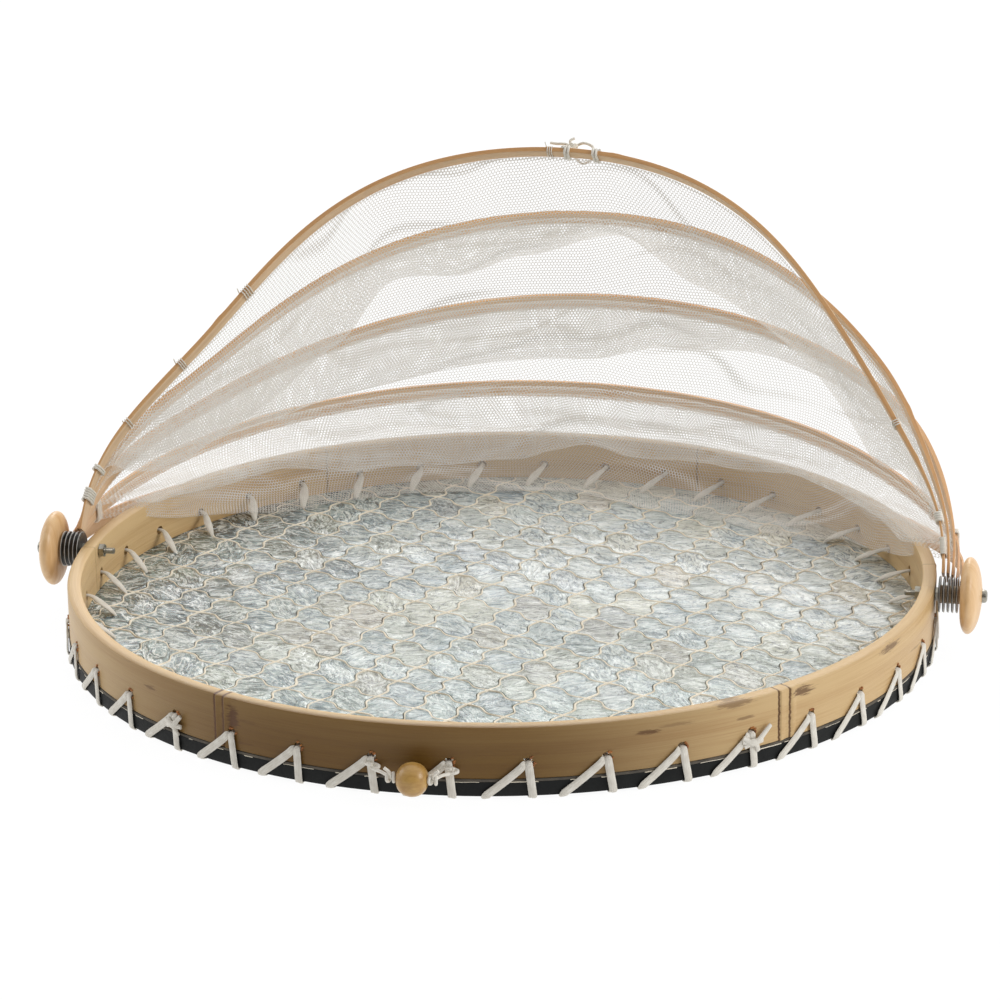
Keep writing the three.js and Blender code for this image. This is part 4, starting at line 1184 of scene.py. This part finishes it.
# Thread and cord wound on the hoops: degrees, turns, cord radius, pitch
WINDINGS = {
    "front_hoop": [(150.0, 3, 0.3, 1.2), (135.5, 4, 0.3, 1.5), (161.5, 2, 0.3, 1.5), (88.4, 3, 0.25, 1.0),
                   (23.5, 3, 0.3, 1.2), (174.0, 5, 0.6, 1.35), (170.2, 2, 0.6, 1.4), (7.5, 4, 0.6, 1.3),
                   (2.6, 14, 0.3, 0.62)],
    "fourth_hoop": [(14.2, 3, 0.6, 1.35), (24.5, 3, 0.3, 0.9), (169.2, 4, 0.6, 1.35)]}
WINDING_START, HEM_THICKNESS, LONG_TAIL, SHORT_TAIL, PIVOT_ZONE = 0.5, 0.3, 3.5, 1.0, 20
BEAD_BORE, BEAD_CORD, BEAD_KNOT = 1.1, 0.75, 2.2


def wound(name, angle, turns, radius, pitch, start, net=0.0):
    """Cord wound round a hoop: its middle line, as points."""
    turn = np.linspace(start, start + 2 * np.pi * turns, max(8, int(12 * turns)))
    thick = hoop_thickness(angle) / 2 + radius + net
    half = HOOP_WIDTH / 2 + radius + net
    out = thick * np.sign(np.cos(turn)) * np.abs(np.cos(turn)) ** 0.5
    across = half * np.sign(np.sin(turn)) * np.abs(np.sin(turn)) ** 0.5
    step = np.degrees(pitch * (turn - start) / (2 * np.pi) / HOOPS[name]["crown"])
    return np.array([on_hoop(name, angle + a, o, c) for a, o, c in zip(step, out, across)])


def cord_heap(runs):
    """Cords from rows of places, radius and points per span."""
    heap = Heap()
    for line, radius, per_span in runs:
        heap.add(*tube_rings(smooth_path(line, per_span), radius, 7))
    return heap


def make_loop():
    """White cord on the front hoop: two wraps, the slack between them, and a knot with two ends."""
    name, cord, first, second = "front_hoop", LOOP_CORD, LOOP_ANGLE + 1.5, LOOP_ANGLE - 1.6

    def at(*rows):
        return [on_hoop(name, *row) for row in rows]

    # the two wraps, the slack over the hoop and the slack under it
    runs = [(wound(name, first, 2.2, cord, 1.5, 0.0), cord, 2),
            (wound(name, second, 2.1, cord, -1.5, 0.0), cord, 2),
            (at((first, 2.0, -1), (first - 0.4, 4.6, -3), (LOOP_ANGLE, 5.8, -1), (second + 0.4, 4.4, 0),
                (second, 1.9, 1)), cord, 6),
            (at((first, 1.8, -4.0), (first - 0.6, -0.5, -6.2), (LOOP_ANGLE, -2.6, -6.8),
                (second + 0.5, -0.6, -6.0), (second, 1.4, -4.0)), cord * 0.85, 6)]
    # the knot: three small turns on top of the first wrap
    runs.append((at(*[(first - 0.2 + 0.42 * math.sin(t), 3.4 + 1.1 * math.cos(1.4 * t),
                       -1.5 + 1.6 * math.cos(t)) for t in np.linspace(0, 6 * np.pi, 34)]), cord, 3))
    runs.append((at((first, 3.6, -1.5), (first + 0.9, 5.2, -2.5), (first + 2.0, 5.0, -2.0),
                    (first + 2.9, 5.6, -2.6)), cord, 6))
    runs.append((at((first, 3.6, -0.5), (first + 0.2, 5.8, 0.5), (first - 0.3, 7.4, 0.2)), cord, 6))
    settle(cord_heap(runs).piece("loop_cord_fine", M_CORD, 60), name, "cord", "loop_cord")


def make_whipping():
    """Thread and cord that hold the net's hems to the hoops."""
    for name, windings in WINDINGS.items():
        runs = []
        for angle, turns, radius, pitch in windings:
            line = wound(name, angle, turns, radius, pitch, WINDING_START, HEM_THICKNESS)
            # beside the pivots the tail is short, so that it clears the rim when the cover is shut
            reach = SHORT_TAIL if min(angle, 180 - angle) < PIVOT_ZONE else LONG_TAIL
            tail = line[-1] + unit(line[-1] - line[-2]) * reach + UP * 0.3 * reach
            runs.append((np.vstack([line, tail]), radius, 2))
        settle(cord_heap(runs).piece(f"{name}_whipping", M_CORD, 60), name, "cord")


def bead_tie_runs(centre, half, sign, angle):
    """One end of the bead's cord: out of the bore to a knot, and tied round a stitch."""
    leg = around(LACE_OUTSIDE + 1.8, angle + 0.45, centre[2] + 1.0)
    knot = centre + (sign * (half + BEAD_KNOT), 0, 0.4)
    side = unit(around(1.0, angle, 0.0))
    return [([centre, centre + (sign * half, 0, 0), knot, (knot + leg) / 2 + (0, -0.6, 0.6), leg,
              leg + (sign * 0.5, 1.4, 1.6)], BEAD_CORD, 6),
            ([knot + (1.5 * math.sin(0.5 * t), 1.7 * math.cos(t), 1.7 * math.sin(t))
              for t in np.linspace(0, 5 * np.pi, 30)], BEAD_CORD, 3),
            ([knot, knot + (sign * 0.6, -1.2, 2.8), knot + (sign * 2.6, -1.4, 4.6)], BEAD_CORD, 6),
            ([leg + side * 1.5 * math.cos(t) - side * 0.9 + (2.6 * math.sin(t), 0, 0.3 * t)
              for t in np.linspace(0, 2 * np.pi, 14)], BEAD_CORD, 3)]


def make_bead():
    low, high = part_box("bead")
    middle, half, radius = (low + high) / 2 / MM, (high.x - low.x) / 2 / MM, (high.z - low.z) / 2 / MM
    turns = np.linspace(0.17, math.pi - 0.17, 25)
    outline = [(max(BEAD_BORE + 0.3, radius * math.sin(t) ** 0.8), -half * math.cos(t)) for t in turns]
    profile = [(BEAD_BORE, -half + 0.6), *outline, (BEAD_BORE, half - 0.6)]
    bead = turned("bead_fine", profile, 48, M_BEAD, tuple(middle), "X", 40)
    settle(bead, "tray", "bead_wood", "bead")
    runs = []
    for sign, stitch in ((-1, 0), (1, 1)):
        runs += bead_tie_runs(np.array(middle), half, sign, hole_angle(stitch))
    settle(cord_heap(runs).piece("bead_cord", M_CORD, 60), "tray", "cord", "bead_tie")


make_net()
make_board()
make_edge_line()
make_shell_face()
make_rim()
make_chips()
make_lacing()
make_pivots()
make_hoops()
make_loop()
make_whipping()
make_bead()

# floor and light

FLOOR_HALF, FLOOR_GLOW = 4000, 0.96
# Area lights: place, aim and size in metres, and power in watts
LIGHTS = {"back_light": ((-0.3, 2.2, 1.6), (0, 0, 0), 1.6, 28),
          "right_light": ((2.2, -0.4, 1.2), (0.1, 0, 0), 1.0, 22),
          "left_light": ((-2.2, 0.2, 1.3), (0, 0, 0), 1.2, 8)}


def studio_world():
    """Soft white all round, dimmer towards the front, where the photograph's rim is in shade."""
    world = bpy.data.worlds.new("studio")
    world.use_nodes = True
    tree = world.node_tree
    background = tree.nodes["Background"]
    place = tree.nodes.new("ShaderNodeTexCoord")
    parts = tree.nodes.new("ShaderNodeSeparateXYZ")
    tree.links.new(place.outputs["Generated"], parts.inputs[0])
    front = tree.nodes.new("ShaderNodeMapRange")
    front.interpolation_type = "SMOOTHSTEP"
    for key, value in (("From Min", -0.95), ("From Max", 0.1), ("To Min", 0.12), ("To Max", 1.0)):
        front.inputs[key].default_value = value
    tree.links.new(parts.outputs["Y"], front.inputs["Value"])
    tree.links.new(front.outputs[0], background.inputs["Strength"])
    background.inputs["Color"].default_value = (1, 1, 1, 1)
    bpy.context.scene.world = world


def make_stage():
    finish = Finish("white_floor").close(Base_Color=rgb(70, 70, 70), Roughness=1.0, Specular_IOR_Level=0.0,
                                         Emission_Color=(1, 1, 1, 1), Emission_Strength=FLOOR_GLOW)
    corners = [(x * FLOOR_HALF, y * FLOOR_HALF, 0) for x, y in ((-1, -1), (1, -1), (1, 1), (-1, 1))]
    build("floor", corners, [(0, 1, 2, 3)], finish)
    studio_world()
    for name, (place, aim, size, power) in LIGHTS.items():
        data = bpy.data.lights.new(name, "AREA")
        data.size, data.energy = size, power
        light = add_object(name, data)
        light.location = place
        light.rotation_euler = (Vector(aim) - Vector(place)).to_track_quat("-Z", "Y").to_euler()


make_stage()
